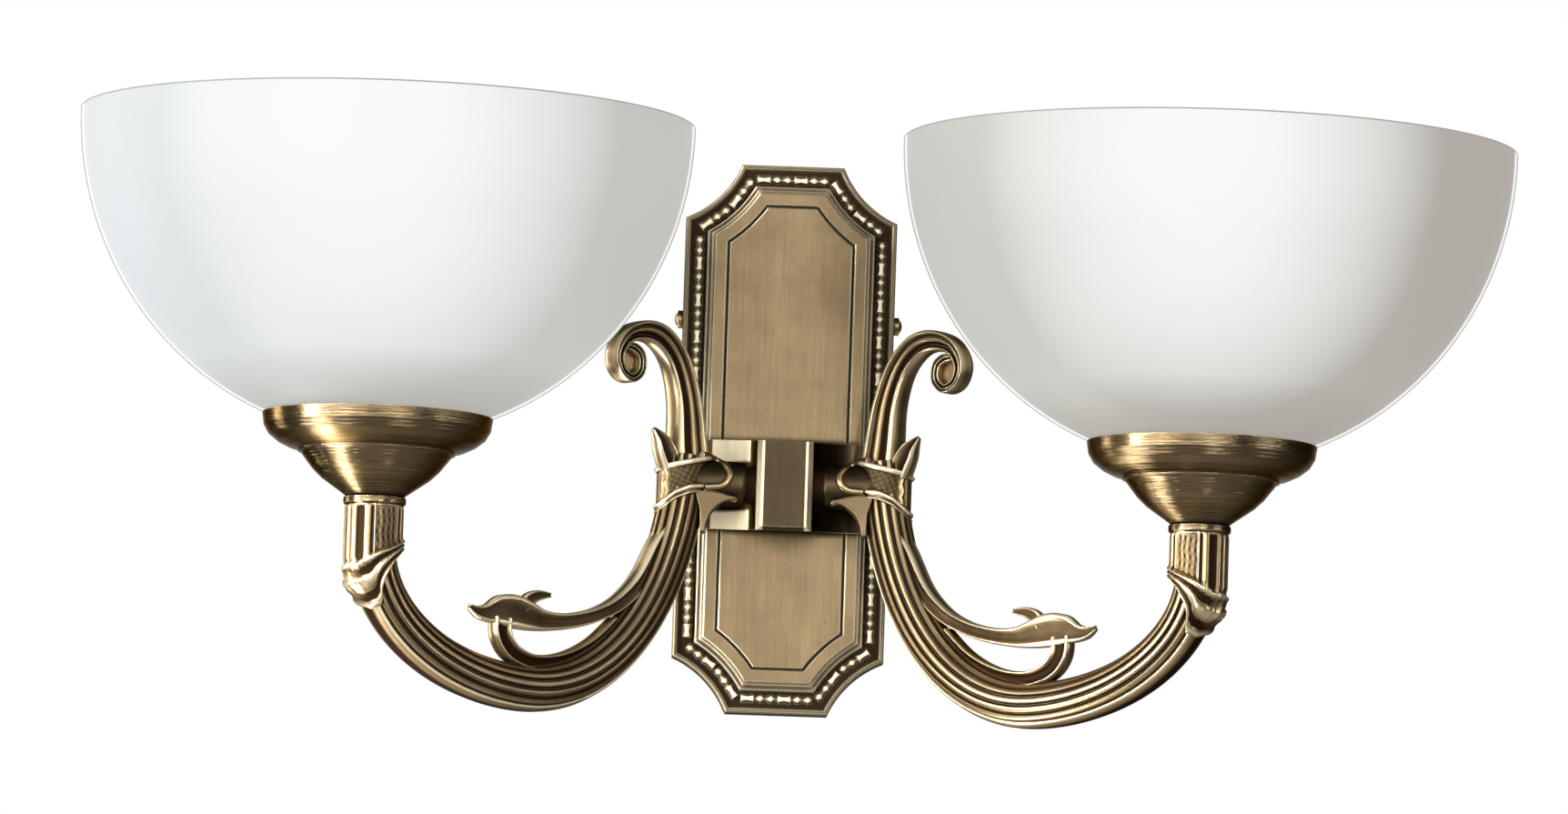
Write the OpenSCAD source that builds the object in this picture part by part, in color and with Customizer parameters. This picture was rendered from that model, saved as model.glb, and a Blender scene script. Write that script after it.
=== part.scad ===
// Two-light wall lamp in cast and spun brass with two open glass bowls.
// The wall is the plane y = 0 and the lamp stands out of it towards -Y, with +Z up.
// The origin is the middle of the wall bracket's screw pattern, on the wall.

/* [Back plate] */
// Width of the plate
plate_w = 67.6; // [64:0.2:72]
// Height of the plate
plate_h = 176; // [168:1:190]
// How far each incurved corner cuts along both edges
corner_cut = 17.5; // [15:0.5:20]
// Radius of the incurved corners
corner_r = 32; // [28:1:40]
// Depth of the plate from the wall to its panel
plate_depth = 14.4; // [14:0.2:16]
// Thickness of the side walls
plate_wall = 2.2; // [1.8:0.1:2.4]
// Height of the side screws above the middle of the plate
screw_rise = 38; // [34:1:44]

/* [Bead and reel border] */
// Distance from the plate's edge to the middle of the row
bead_inset = 4.7; // [4.5:0.1:5]
// Radius of the beads
bead_r = 1.35; // [1.2:0.05:1.5]
// Spacing of the repeat: one reel and two beads
bead_pitch = 11.8; // [11:0.1:13]

/* [Centre block] */
// Width of the block's flat front
block_w = 17.8; // [17:0.2:20]
// Width of the block where it flares to the plate
block_foot_w = 50; // [46:1:52]
// Height of the block
block_h = 28.5; // [26:0.5:30]
// Drop of the block's front against its foot
block_lean = 1.6; // [0:0.2:2.4]
// Distance of the block's front from the wall
block_front = 34.5; // [34:0.5:38]
// Drop of the block and band below the middle of the plate
block_drop = 16.6; // [12:0.2:20]

/* [Arms] */
// Angle of each arm's plane forward of the wall
splay = 40; // [36:1:42]
// Distance of the arm's root from the middle of the lamp
arm_root_x = 32; // [30:0.5:34]
// Distance of the arm's root from the wall
arm_root_depth = 26; // [25.6:0.2:26.4]
// Reach of the arm in its own plane, root to stem
arm_reach = 126; // [122:1:132]
// Depth of the U below the middle of the plate, on the arm's centre line
arm_drop = 87.5; // [84:0.5:92]
// Outer radius of the reeded bar
arm_r = 7.4; // [7:0.1:7.8]
// Depth of the grooves between the reeds
reed_depth = 0.9; // [0.6:0.1:1.2]
// Radius of the fluted stem
stem_r = 9; // [8.6:0.1:9.4]
// Radius of the wire channel in the arm
channel_r = 2.8; // [2.6:0.1:3]

/* [Cups and glass] */
// Outer radius of the cup's rim
cup_r = 36; // [34:0.5:40]
// Height of the cup
cup_h = 25; // [24:0.5:28]
// Wall of the spun cup
cup_wall = 1.2; // [1:0.1:1.4]
// Drop of the cup's rim below the middle of the plate
cup_drop = 7.5; // [5:0.5:10]
// Outer radius of the glass bowl at its rim
glass_r = 96; // [92:1:102]
// Depth of the oval that the bowl's profile follows
glass_oval = 100; // [94:1:106]
// Thickness of the glass
glass_wall = 4; // [3:0.5:5]

/* [Lampholder and bulb] */
// Outer radius of the lampholder's threaded sleeve
holder_r = 14; // [13.5:0.1:14.4]
// Outer radius of the shade ring
ring_r = 21; // [20:0.5:22]
// Radius of the bulb's screw cap
cap_r = 6.95; // [6.8:0.05:7]
// Radius of the ball-shaped bulb
bulb_r = 22.5; // [20:0.5:24]

/* [Wall bracket] */
// Distance between the middles of the two wall slots
slot_spacing = 36; // [32:1:40]
// Width of the wall slots
slot_w = 4.6; // [4.2:0.2:5]
// Length of the wall slots, end to end
slot_l = 10; // [8:0.5:11]
// Thickness of the bracket's steel
bracket_t = 2; // [1.5:0.1:2.2]

/* [Hidden] */
$fn = 48;

// Clearances: a screwed fit, a loose fit and a cut that runs past its solid.
screw_gap = 0.06;
loose_gap = 0.3;
past = 1;

// Levels along the wall, with the side screws at z = 0.
plate_z = -screw_rise;
block_z = plate_z - block_drop;
cup_rim_z = plate_z - cup_drop;
cup_floor_z = cup_rim_z - cup_h;

// The plate's moulding: each step is an inset from the edge and a distance from the wall.
rim_inset = 1.4;
bead_floor = plate_depth - 6.2;
rim_top = plate_depth - 5.4;
step_inset = 7.2;
step_top = plate_depth - 3.2;
frame_inset = 8.6;
frame_foot = plate_depth - 1.4;
frame_edge = 9.6;
frame_top = plate_depth - 0.4;
line_inset = 13.4;
line_w = 0.9;
line_depth = 0.9;
skin = 1.7;

// The bead and reel repeat along its run, as shares of the pitch.
reel_l = 0.34 * bead_pitch;
bead_l = 0.19 * bead_pitch;
bead_gap = (bead_pitch - reel_l - 2 * bead_l) / 3;
bead_neck = 0.55 * bead_r;

// Screws and threaded tubes.
side_screw_r = 1.95;
side_head_r = 2.85;
side_head_l = 2.6;
side_screw_depth = 3.7;
ear_h = bead_floor - skin - loose_gap;
block_screw_r = 1.95;
block_screw_head_r = 3.4;
block_screw_head_l = 2.4;
block_screw_offset = 9.2;
block_screw_l = 9;
tube_r = 4;
tube_bore = 3;
nut_l = 3;
nut_flats = 10.8;
nipple_r = 5;
nipple_bore = 4;
wire_hole_r = 6;

// The block's hollow, where the nuts of the arms sit.
block_wall = 3.4;
hollow_w = block_w - 2 * block_wall + 4;
hollow_h = 14;
hollow_top = block_front - 2.5;

// The stub that joins the arm to the block, and the strap band round the arm.
stub_r = 6.5;
stub_end_x = block_w / 2;
boss_r = 6.9;
boss_neck_r = 5;
boss_start = 12;
band_r = 8.5;
band_rim_r = 9.3;
band_top = 8.5;
band_rim_w = 1.8;

// The stem and what stands on it.
collar_r = 9.8;
collar_h = 3.2;
stem_top = cup_floor_z - collar_h;
stem_knee = stem_top - 17;
leaf_lip = 0.8;
leaf_lip_w = 3.2;
flutes = 12;
flute_r = 0.8;
nipple_in_stem = 11;

// Heights of the parts in the cup.
cup_inside = cup_floor_z + cup_wall;
holder_base = cup_inside + nut_l;
glass_rim_z = cup_rim_z + glass_oval * sqrt(1 - pow((cup_r - cup_wall) / glass_r, 2)) + 0.05;
glass_hole_r = holder_r + 1;
glass_base = glass_rim_z - glass_oval * 0.97;
washer_t = 1;
ring_h = 6;
ring_z = glass_base + glass_wall + washer_t;
holder_top = ring_z + ring_h + 7;
shell_wall = 0.5;
holder_floor = ring_z - 6;
contact_t = 0.8;
cap_tip = 2.6;
cap_z = holder_floor + contact_t + cap_tip + 0.05;
cap_h = 20;
bulb_z = cap_z + cap_h + bulb_r + 3;

// The leads.
lead_r = 1.3;
lead_sides = 6;

// Curves and sweeps
function bezier(p, t) =
    pow(1 - t, 3) * p[0] + 3 * pow(1 - t, 2) * t * p[1] + 3 * (1 - t) * t * t * p[2] + pow(t, 3) * p[3];

// A smooth curve through the given points; a and d steer it at its ends.
function through(a, b, c, d, t) =
    0.5 * (2 * b + (c - a) * t + (2 * a - 5 * b + 4 * c - d) * t * t + (3 * b - a - 3 * c + d) * pow(t, 3));

function smooth(p, steps) = [
    for (i = [0 : len(p) - 2])
        for (s = [0 : steps - 1])
            through(p[max(i - 1, 0)], p[i], p[i + 1], p[min(i + 2, len(p) - 1)], s / steps),
    p[len(p) - 1]
];

function unit(v) = v / norm(v);

function heading(path, i) =
    unit(path[min(i + 1, len(path) - 1)] - path[max(i - 1, 0)]);

// One ring of a sweep: the outline's first axis lies in the plane square to "across".
function ring(at, along, outline, across) =
    let (u = unit(cross(along, across)), v = cross(along, u))
    [for (p = outline) at + p[0] * u + p[1] * v];

module skin_of(rings) {
    count = len(rings);
    sides = len(rings[0]);
    middle = function (r) [for (axis = [0 : 2]) [for (p = r) p[axis]] * [for (p = r) 1] / len(r)];
    points = [for (r = rings) each r, middle(rings[0]), middle(rings[count - 1])];
    first = count * sides;
    last = first + 1;
    faces = [
        for (i = [0 : count - 2])
            for (j = [0 : sides - 1])
                let (k = (j + 1) % sides, a = i * sides, b = a + sides)
                each [[a + j, b + k, a + k], [a + j, b + j, b + k]],
        for (j = [0 : sides - 1])
            [first, j, (j + 1) % sides],
        for (j = [0 : sides - 1])
            [last, (count - 1) * sides + (j + 1) % sides, (count - 1) * sides + j]
    ];
    polyhedron(points, faces);
}

module sweep(path, outline, across = [0, 1, 0]) {
    skin_of([for (i = [0 : len(path) - 1]) ring(path[i], heading(path, i), outline, across)]);
}

// A bar whose stations are [along the arm, up, half thickness, half width].
module tapered_bar(stations, outline, steps) {
    s = smooth(stations, steps);
    path = [for (p = s) [p[0], 0, p[1]]];
    skin_of([
        for (i = [0 : len(s) - 1])
            ring(path[i], heading(path, i), [for (p = outline) [p[0] * s[i][2], p[1] * s[i][3]]], [0, 1, 0])
    ]);
}

function round_outline(r, sides) = [for (i = [0 : sides - 1]) r * [cos(i * 360 / sides), sin(i * 360 / sides)]];

// The reeded bar's outline: eleven reeds round the inside and sides, and a smooth spine outside.
reeds = 11;
spine_half = 40;
reed_pitch = 2 * (180 - spine_half) / reeds;
reed_start = spine_half - 180;
reeded_outline = [
    for (k = [0 : reeds - 1])
        each [
            [reed_start + k * reed_pitch, arm_r - reed_depth],
            [reed_start + (k + 0.3) * reed_pitch, arm_r],
            [reed_start + (k + 0.7) * reed_pitch, arm_r]
        ],
    [180 - spine_half, arm_r - reed_depth],
    for (a = [-0.75 : 0.5 : 0.75])
        [180 + a * spine_half, arm_r]
];
reeded_points = [for (p = reeded_outline) p[1] * [cos(p[0]), sin(p[0])]];

// Flattened outline with two grooves a side, for the volute.
strand_outline = [
    [1, 0.55], [0.8, 0.95], [0.5, 1], [0.36, 0.72], [0.2, 1], [-0.2, 1], [-0.36, 0.72], [-0.5, 1],
    [-0.85, 0.95], [-1, 0.6], [-1, -0.6], [-0.85, -0.95], [-0.5, -1], [-0.36, -0.72], [-0.2, -1],
    [0.2, -1], [0.36, -0.72], [0.5, -1], [0.8, -0.95], [1, -0.55]
];

// Outline of the leaf: rims at both edges with a sunk field between them.
leaf_outline = [
    [1, 0.4], [0.85, 1], [0.6, 0.95], [0.45, 0.5], [-0.45, 0.5], [-0.6, 0.95], [-0.85, 1], [-1, 0.4],
    [-1, -0.4], [-0.85, -1], [-0.6, -0.95], [-0.45, -0.5], [0.45, -0.5], [0.6, -0.95], [0.85, -1], [1, -0.4]
];

// The arm's centre line in its own plane: down from the root, round the bottom and up into the stem.
arm_low = plate_z - arm_drop;
arm_mid = 0.51 * arm_reach;
root_half = [
    [0, 0, block_z], [5.4, 0, block_z - 41], [arm_mid - 34, 0, arm_low], [arm_mid, 0, arm_low]
];
stem_half = [
    [arm_mid, 0, arm_low], [arm_mid + 28, 0, arm_low],
    [arm_reach - 3.6, 0, stem_knee - 21.5], [arm_reach, 0, stem_knee + 1]
];
arm_steps = 20;
arm_line = [
    for (i = [0 : arm_steps - 1]) bezier(root_half, i / arm_steps),
    for (i = [0 : arm_steps]) bezier(stem_half, i / arm_steps)
];
root_rise = unit(root_half[0] - root_half[1]);
bar_line = concat([arm_line[0] + 8 * root_rise], arm_line);

module on_plate() {
    translate([0, 0, plate_z])
        rotate([90, 0, 0])
            children();
}

module on_right() {
    children();
}

module on_left() {
    mirror([1, 0, 0])
        children();
}

// Moves a shape from the arm's own plane (x along the arm, z up) to its place.
module in_arm_plane() {
    translate([arm_root_x, -arm_root_depth, 0])
        rotate([0, 0, -splay])
            children();
}

module on_stem() {
    in_arm_plane()
        translate([arm_reach, 0, 0])
            children();
}

module tube(r, bore, low, high) {
    translate([0, 0, low])
        difference() {
            cylinder(r = r, h = high - low);
            translate([0, 0, -past])
                cylinder(r = bore, h = high - low + 2 * past);
        }
}

module hex_nut(flats, bore, h) {
    difference() {
        cylinder(r = flats / 2 / cos(30), h = h, $fn = 6);
        translate([0, 0, -past])
            cylinder(r = bore, h = h + 2 * past);
    }
}

// Back plate
module plate_outline(inset) {
    reach = sqrt(pow(corner_r, 2) - pow(corner_cut, 2) / 2) / sqrt(2) - corner_cut / 2;
    difference() {
        square([plate_w - 2 * inset, plate_h - 2 * inset], center = true);
        for (sx = [-1, 1])
            for (sy = [-1, 1])
                translate([sx * (plate_w / 2 + reach), sy * (plate_h / 2 + reach)])
                    circle(r = corner_r + inset, $fn = 96);
    }
}

module plate_ring(outer, inner, low, high) {
    translate([0, 0, low])
        linear_extrude(high - low)
            difference() {
                plate_outline(outer);
                plate_outline(inner);
            }
}

module plate_layer(inset, high) {
    linear_extrude(high)
        plate_outline(inset);
}

function reel_profile(x) = [
    [x, bead_neck], [x, bead_r], [x + reel_l / 2, 0.84 * bead_r], [x + reel_l, bead_r], [x + reel_l, bead_neck]
];

function bead_profile(x) = [
    [x, bead_neck], [x, 0.7 * bead_r], [x + bead_l / 2, bead_r],
    [x + bead_l, 0.7 * bead_r], [x + bead_l, bead_neck]
];

// One run of the border: reels with a pair of beads after each, turned about the run's own line.
module bead_run(groups) {
    length = groups * bead_pitch - bead_gap;
    outline = [
        [0, 0],
        for (i = [0 : groups - 1])
            let (x = i * bead_pitch)
            each concat(
                reel_profile(x),
                bead_profile(x + reel_l + bead_gap),
                bead_profile(x + reel_l + bead_l + 2 * bead_gap)
            ),
        [length, 0]
    ];
    translate([-length / 2, 0, 0])
        rotate([0, 90, 0])
            rotate_extrude($fn = 24)
                polygon([for (p = outline) [p[1], p[0]]]);
}

module bead_border() {
    side_groups = floor((plate_h - 2 * corner_cut - 2 * bead_inset) / bead_pitch);
    end_groups = floor((plate_w - 2 * corner_cut) / bead_pitch);
    reach = sqrt(pow(corner_r, 2) - pow(corner_cut, 2) / 2) / sqrt(2) - corner_cut / 2;
    arc_r = corner_r + bead_inset;
    arc_step = bead_pitch / arc_r * 180 / PI;
    for (s = [-1, 1]) {
        translate([s * (plate_w / 2 - bead_inset), 0, bead_floor])
            rotate([0, 0, 90])
                bead_run(side_groups);
        translate([0, s * (plate_h / 2 - bead_inset), bead_floor])
            bead_run(end_groups);
        for (t = [-1, 1])
            translate([s * (plate_w / 2 + reach), t * (plate_h / 2 + reach), bead_floor])
                for (turn = [-0.5, 0.5])
                    rotate([0, 0, atan2(-t, -s) + turn * arc_step])
                        translate([arc_r, 0, 0])
                            rotate([0, 0, 90])
                                bead_run(1);
    }
}

module back_plate() {
    color("#a5895a")
        on_plate()
            difference() {
                union() {
                    plate_layer(0, bead_floor);
                    plate_ring(0.4, rim_inset, bead_floor - past, rim_top);
                    plate_layer(step_inset, step_top);
                    plate_layer(frame_inset, frame_foot);
                    plate_layer(frame_edge, frame_top);
                    plate_layer(line_inset + line_w, plate_depth);
                    bead_border();
                }
                plate_ring(line_inset, line_inset + line_w, frame_top - line_depth, plate_depth);
                translate([0, 0, -past])
                    plate_layer(plate_wall, past + bead_floor - skin);
                translate([0, 0, -past])
                    plate_layer(frame_inset + plate_wall, past + frame_foot - skin - 0.6);
                translate([0, -block_drop, 0])
                    cylinder(r = wire_hole_r, h = plate_depth + past);
                for (s = [-1, 1])
                    translate([0, s * block_screw_offset - block_drop, 0])
                        cylinder(r = block_screw_r + loose_gap, h = plate_depth + past);
                translate([0, screw_rise, side_screw_depth])
                    rotate([0, 90, 0])
                        cylinder(r = side_screw_r + loose_gap, h = plate_w + 2 * past, center = true);
            }
}

// Wall bracket: a strip with slots and bent ears, and a tongue for the terminals.
tongue_w = 16;
tongue_l = 44;
strip_h = 16;
ear_x = plate_w / 2 - plate_wall - loose_gap - bracket_t;
block_hole_z = -20;
earth_z = -36;
small_screw_r = 1.45;

module wall_bracket() {
    color("#b9bcc0")
        difference() {
            union() {
                translate([-ear_x - bracket_t, -bracket_t, -strip_h / 2])
                    cube([2 * (ear_x + bracket_t), bracket_t, strip_h]);
                translate([-tongue_w / 2, -bracket_t, -tongue_l])
                    cube([tongue_w, bracket_t, tongue_l]);
                for (s = [-1, 1])
                    translate([s * (ear_x + bracket_t / 2) - bracket_t / 2, -ear_h, -strip_h / 2])
                        cube([bracket_t, ear_h, strip_h]);
            }
            rotate([0, 90, 0])
                translate([0, -side_screw_depth, 0])
                    cylinder(r = side_screw_r + screw_gap, h = plate_w, center = true);
            for (s = [-1, 1])
                translate([s * slot_spacing / 2, past, 0])
                    rotate([90, 0, 0])
                        linear_extrude(bracket_t + 2 * past) {
                            for (e = [-1, 1])
                                translate([e * (slot_l - slot_w) / 2, 0])
                                    circle(r = slot_w / 2);
                            square([slot_l - slot_w, slot_w], center = true);
                        }
            for (z = [block_hole_z, earth_z])
                translate([0, past, z])
                    rotate([90, 0, 0])
                        cylinder(r = small_screw_r + screw_gap, h = bracket_t + 2 * past);
        }
}

module side_screw() {
    color("#8f7747")
        translate([plate_w / 2, -side_screw_depth, 0])
            rotate([0, 90, 0])
                difference() {
                    union() {
                        translate([0, 0, -plate_wall - loose_gap - bracket_t - 2])
                            cylinder(r = side_screw_r, h = plate_wall + loose_gap + bracket_t + 2);
                        cylinder(r = side_head_r, h = side_head_l - 1);
                        intersection() {
                            translate([0, 0, side_head_l - side_head_r * 1.1])
                                sphere(r = side_head_r * 1.1);
                            cylinder(r = side_head_r - 0.05, h = side_head_l);
                        }
                    }
                    translate([0, 0, side_head_l])
                        cube([2 * side_head_r + past, 0.8, 1.8], center = true);
                }
}

block_body = [24, 8, 12];

module terminal_block() {
    color("#e8e6df")
        translate([0, -bracket_t, block_hole_z])
            difference() {
                translate([-block_body[0] / 2, -block_body[1], -block_body[2] / 2])
                    cube(block_body);
                rotate([90, 0, 0])
                    cylinder(r = small_screw_r + loose_gap, h = block_body[1] + past);
                translate([0, -block_body[1] + 1.6, 0])
                    rotate([90, 0, 0])
                        cylinder(r = 2.9, h = 1.6 + past);
                for (x = [-8, 8])
                    translate([x, -block_body[1] / 2, -block_body[2] / 2 - past])
                        cylinder(r = 1.6, h = block_body[2] + 2 * past);
                for (x = [-8, 8])
                    for (z = [-3, 3])
                        translate([x, -block_body[1] / 2, z])
                            rotate([90, 0, 0])
                                cylinder(r = 1.4, h = block_body[1] / 2 + past);
            }
}

module pan_screw(r, head_r, head_l, length) {
    rotate([90, 0, 0])
        difference() {
            union() {
                cylinder(r = head_r, h = head_l);
                translate([0, 0, -length])
                    cylinder(r = r, h = length);
            }
            translate([0, 0, head_l])
                cube([2 * head_r + past, 0.8, 1.4], center = true);
        }
}

module terminal_screw() {
    color("#c9cbce")
        translate([0, -bracket_t - block_body[1] + 1.6, block_hole_z])
            pan_screw(small_screw_r, 2.6, 1.4, block_body[1] - 1.6 + bracket_t);
}

module earth_screw() {
    color("#c8a95a")
        translate([0, -bracket_t, earth_z])
            pan_screw(small_screw_r, 3, 1.8, bracket_t);
}

// Centre block: a flat front on curved flanks that flare to the plate.
chamfer = 1.6;
foot_t = 1.4;

module block_plan() {
    flare_r = block_front - plate_depth - 5.5;
    difference() {
        translate([-block_foot_w / 2, plate_depth])
            square([block_foot_w, block_front - plate_depth]);
        for (s = [-1, 1]) {
            translate([s * (block_w / 2 + flare_r), plate_depth + foot_t + flare_r])
                circle(r = flare_r, $fn = 96);
            translate([s * (block_w / 2 + flare_r / 2 + 20) - flare_r / 2 - 20, plate_depth + foot_t + flare_r])
                square([flare_r + 40, block_front]);
            translate([s * (block_w / 2 + flare_r + 20) - 20, plate_depth + foot_t])
                square([40, block_front]);
            translate([s * block_w / 2, block_front])
                rotate(45)
                    square(chamfer * sqrt(2), center = true);
        }
    }
}

// The block from the side: it leans down a little from the plate to its front.
module block_side() {
    low = block_z - block_h / 2;
    high = block_z + block_h / 2;
    half = block_lean / 2;
    edge = 0.7 * chamfer;
    translate([block_foot_w / 2 + past, 0, 0])
        rotate([90, 0, -90])
            linear_extrude(block_foot_w + 2 * past)
                polygon([
                    [plate_depth, low + half], [block_front - edge, low - half],
                    [block_front, low - half + edge], [block_front, high - half],
                    [plate_depth + foot_t, high + half], [plate_depth, high + half - 0.5 * foot_t]
                ]);
}

module block_solid() {
    intersection() {
        translate([0, 0, block_z - block_h])
            linear_extrude(2 * block_h)
                mirror([0, 1])
                    block_plan();
        block_side();
    }
}

module centre_block() {
    color("#9a8053")
        difference() {
            block_solid();
            translate([-hollow_w / 2, -hollow_top, block_z - hollow_h / 2])
                cube([hollow_w, hollow_top, hollow_h]);
            translate([0, -arm_root_depth, block_z])
                rotate([0, 90, 0])
                    cylinder(r = tube_r + screw_gap, h = block_foot_w, center = true);
            for (s = [-1, 1])
                translate([0, -plate_depth + past, block_z + s * block_screw_offset])
                    rotate([90, 0, 0])
                        cylinder(r = block_screw_r + screw_gap, h = block_screw_l - 1);
        }
}

module block_screws() {
    color("#c9cbce")
        for (s = [-1, 1])
            translate([0, -(frame_foot - skin - 0.6), block_z + s * block_screw_offset])
                mirror([0, 1, 0])
                    pan_screw(block_screw_r, block_screw_head_r, block_screw_head_l, block_screw_l);
}

module arm_nipple() {
    color("#c2a86a")
        translate([0, -arm_root_depth, block_z])
            rotate([0, 90, 0])
                tube(tube_r, tube_bore, hollow_w / 2 - nut_l - 1, block_w / 2 + 9);
}

module arm_nut() {
    color("#c2a86a")
        translate([hollow_w / 2 - nut_l, -arm_root_depth, block_z])
            rotate([0, 90, 0])
                hex_nut(nut_flats, tube_r + screw_gap, nut_l);
}

// Strap band: a collar cut by two slanting planes, with a raised edge along each.
band_top_tilt = 9;
band_low_tilt = 27;
band_low = 10;

module slanted_slab(tilt, low, high) {
    rotate([0, tilt, 0])
        translate([-20, -20, low])
            cube([40, 40, high - low]);
}

module strap_band() {
    translate([0, 0, block_z]) {
        intersection() {
            rotate([0, -6, 0])
                cylinder(r = band_r, h = 44, center = true);
            slanted_slab(band_top_tilt, -40, band_top);
            slanted_slab(band_low_tilt, -band_low, 40);
        }
        intersection() {
            rotate([0, -6, 0])
                cylinder(r = band_rim_r, h = 44, center = true);
            slanted_slab(band_top_tilt, band_top - band_rim_w, band_top);
        }
        intersection() {
            rotate([0, -6, 0])
                cylinder(r = band_rim_r, h = 44, center = true);
            slanted_slab(band_low_tilt, -band_low, -band_low + band_rim_w);
        }
        translate([band_r - 0.6, 0, 3.4])
            sphere(r = 2.6);
    }
}

// Stub: the short branch that butts against the block, with a fillet down the arm's back.
module stub() {
    fillet_r = 8;
    arm_back = 2 + stub_r + fillet_r;
    translate([0, -arm_root_depth, block_z]) {
        rotate([0, 90, 0])
            rotate_extrude()
                polygon([
                    [0, stub_end_x], [boss_neck_r, stub_end_x], [boss_neck_r, boss_start],
                    [boss_r - 1, boss_start + 0.2],
                    [boss_r, boss_start + 1.6], [boss_r, arm_root_x - 6], [stub_r - 0.5, arm_root_x - 1],
                    [0, arm_root_x]
                ]);
        translate([arm_root_x - arm_r + 1, 3.5, 0])
            rotate([90, 0, 0])
                linear_extrude(7)
                    difference() {
                        translate([-fillet_r, -arm_back])
                            square([fillet_r + 4, arm_back]);
                        translate([-fillet_r, -arm_back])
                            circle(r = fillet_r);
                    }
    }
}

// Volute above the band.
volute_stations = [
    [-0.8, -12, 5.8, 5.8], [0, -3, 5.4, 5.4], [1.6, 10, 4.5, 4.8], [5.5, 21, 4.1, 4.2], [11.5, 27.8, 4, 3.8],
    [18.5, 29.9, 3.6, 3.5], [26, 27.8, 2.8, 3.3], [30, 22, 2.3, 3.25], [28.8, 16.5, 1.9, 3.25],
    [24.5, 14.3, 1.7, 3.2], [21, 17, 1.6, 3.1], [20.9, 21.5, 1.5, 3], [23.5, 24, 1.4, 2.8]
];

// Leaf that leaves the arm's inside and sweeps out over the U.
leaf_stations = [
    [4, -29, 2.4, 3.4], [10, -37, 2.5, 3.4], [17.5, -49.5, 2.5, 3.3], [26, -57.4, 2.3, 3.1],
    [34.3, -61.6, 2.2, 2.9], [42, -64, 2.4, 2.8], [50, -65.4, 2.7, 2.6], [57, -65.6, 3.4, 2.5],
    [62, -64.8, 4.5, 2.4], [68, -63.8, 5.3, 2.3], [74, -63.8, 4.8, 2.1], [79, -65, 3, 1.9], [83, -65, 1.9, 1.6],
    [86.5, -63.6, 0.8, 0.9]
];
lobe_stations = [[65.5, -64.5, 0.8, 0.8], [63.6, -60.4, 2.1, 1.7], [59.4, -58, 1.8, 1.6], [53.6, -57.3, 0.7, 0.9]];
post_stations = [
    [73.4, -66, 3.6, 2.3], [73.2, -71.6, 3.4, 2.4], [69.5, -76.4, 3, 2.6],
    [62, -79, 2.6, 2.8], [53, -78.6, 2.6, 2.8],
    [44, -76, 2.6, 2.8], [35, -71.2, 2.6, 2.8], [26.5, -64, 2.6, 2.8]
];
tip_stations = [[6.4, -12, 3, 3], [9.6, -5.5, 2.4, 2.6], [12.6, -0.6, 0.7, 0.9]];

// A thin web closes the eye of the volute.
eye = [25, 19.6];
eye_web_r = 4.6;
eye_web_t = 1.6;

module eye_web() {
    translate([eye[0], 0.4, plate_z + eye[1]])
        rotate([90, 0, 0])
            cylinder(r = eye_web_r, h = eye_web_t, center = true);
}

// The boss on the outside of the elbow, under the leaf.
knob_r = 4.4;
knob_out = 5.1;
knob_back = 1.7;
knob_drop = 24.5;

module elbow_knob() {
    translate([arm_reach + knob_out, knob_back, stem_top - knob_drop])
        sphere(r = knob_r);
}

module ornament(stations, outline, steps) {
    translate([0, 0, plate_z])
        tapered_bar(stations, outline, steps);
}

// Fluted stem with the leaf edge that wraps slanting round its foot.
leaf_slope = 53;
leaf_low = 5.2;

module stem_form(r) {
    translate([0, 0, stem_knee])
        cylinder(r = r, h = stem_top - stem_knee);
    translate([0, 0, stem_knee])
        sphere(r = r);
}

module leaf_cut(low, high) {
    translate([0, 0, stem_knee])
        rotate([0, leaf_slope, 0])
            translate([-30, -30, low])
                cube([60, 60, high - low]);
}

module stem() {
    translate([arm_reach, 0, 0]) {
        difference() {
            intersection() {
                stem_form(stem_r);
                leaf_cut(-leaf_low, 60);
            }
            for (i = [0 : flutes - 1])
                rotate([0, 0, (i + 0.5) * 360 / flutes])
                    translate([stem_r + 0.25, 0, stem_knee - 6])
                        cylinder(r = flute_r, h = stem_top - stem_knee + 5, $fn = 24);
        }
        intersection() {
            stem_form(stem_r + leaf_lip);
            leaf_cut(-leaf_low, leaf_lip_w - leaf_low);
        }
    }
}

module arm() {
    color("#a08656")
        difference() {
            union() {
                in_arm_plane() {
                    sweep(bar_line, reeded_points);
                    strap_band();
                    ornament(volute_stations, strand_outline, 3);
                    ornament(leaf_stations, leaf_outline, 2);
                    ornament(lobe_stations, leaf_outline, 2);
                    ornament(post_stations, round_outline(1, 8), 2);
                    ornament(tip_stations, round_outline(1, 8), 2);
                    stem();
                    eye_web();
                    elbow_knob();
                }
                stub();
            }
            block_solid();
            in_arm_plane() {
                sweep(arm_line, round_outline(channel_r, 8));
                translate([0, 0, block_z])
                    sphere(r = 5);
                translate([arm_reach, 0, stem_knee - 1])
                    cylinder(r = channel_r, h = stem_top - stem_knee);
                translate([arm_reach, 0, stem_top - nipple_in_stem])
                    cylinder(r = nipple_r + screw_gap, h = nipple_in_stem + past);
            }
            translate([0, -arm_root_depth, block_z])
                rotate([0, 90, 0]) {
                    cylinder(r = channel_r, h = arm_root_x);
                    cylinder(r = tube_r + screw_gap, h = block_w / 2 + 9.5);
                }
        }
}

// Collar, cup, nipple and nut on the stem.
module neck_collar() {
    color("#b59a63")
        on_stem()
            difference() {
                translate([0, 0, stem_top])
                    rotate_extrude()
                        polygon([
                            [nipple_r + loose_gap, 0], [collar_r - 0.8, 0], [collar_r, 0.8],
                            [collar_r, collar_h - 0.8], [collar_r - 0.8, collar_h],
                            [nipple_r + loose_gap, collar_h]
                        ]);
            }
}

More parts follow.
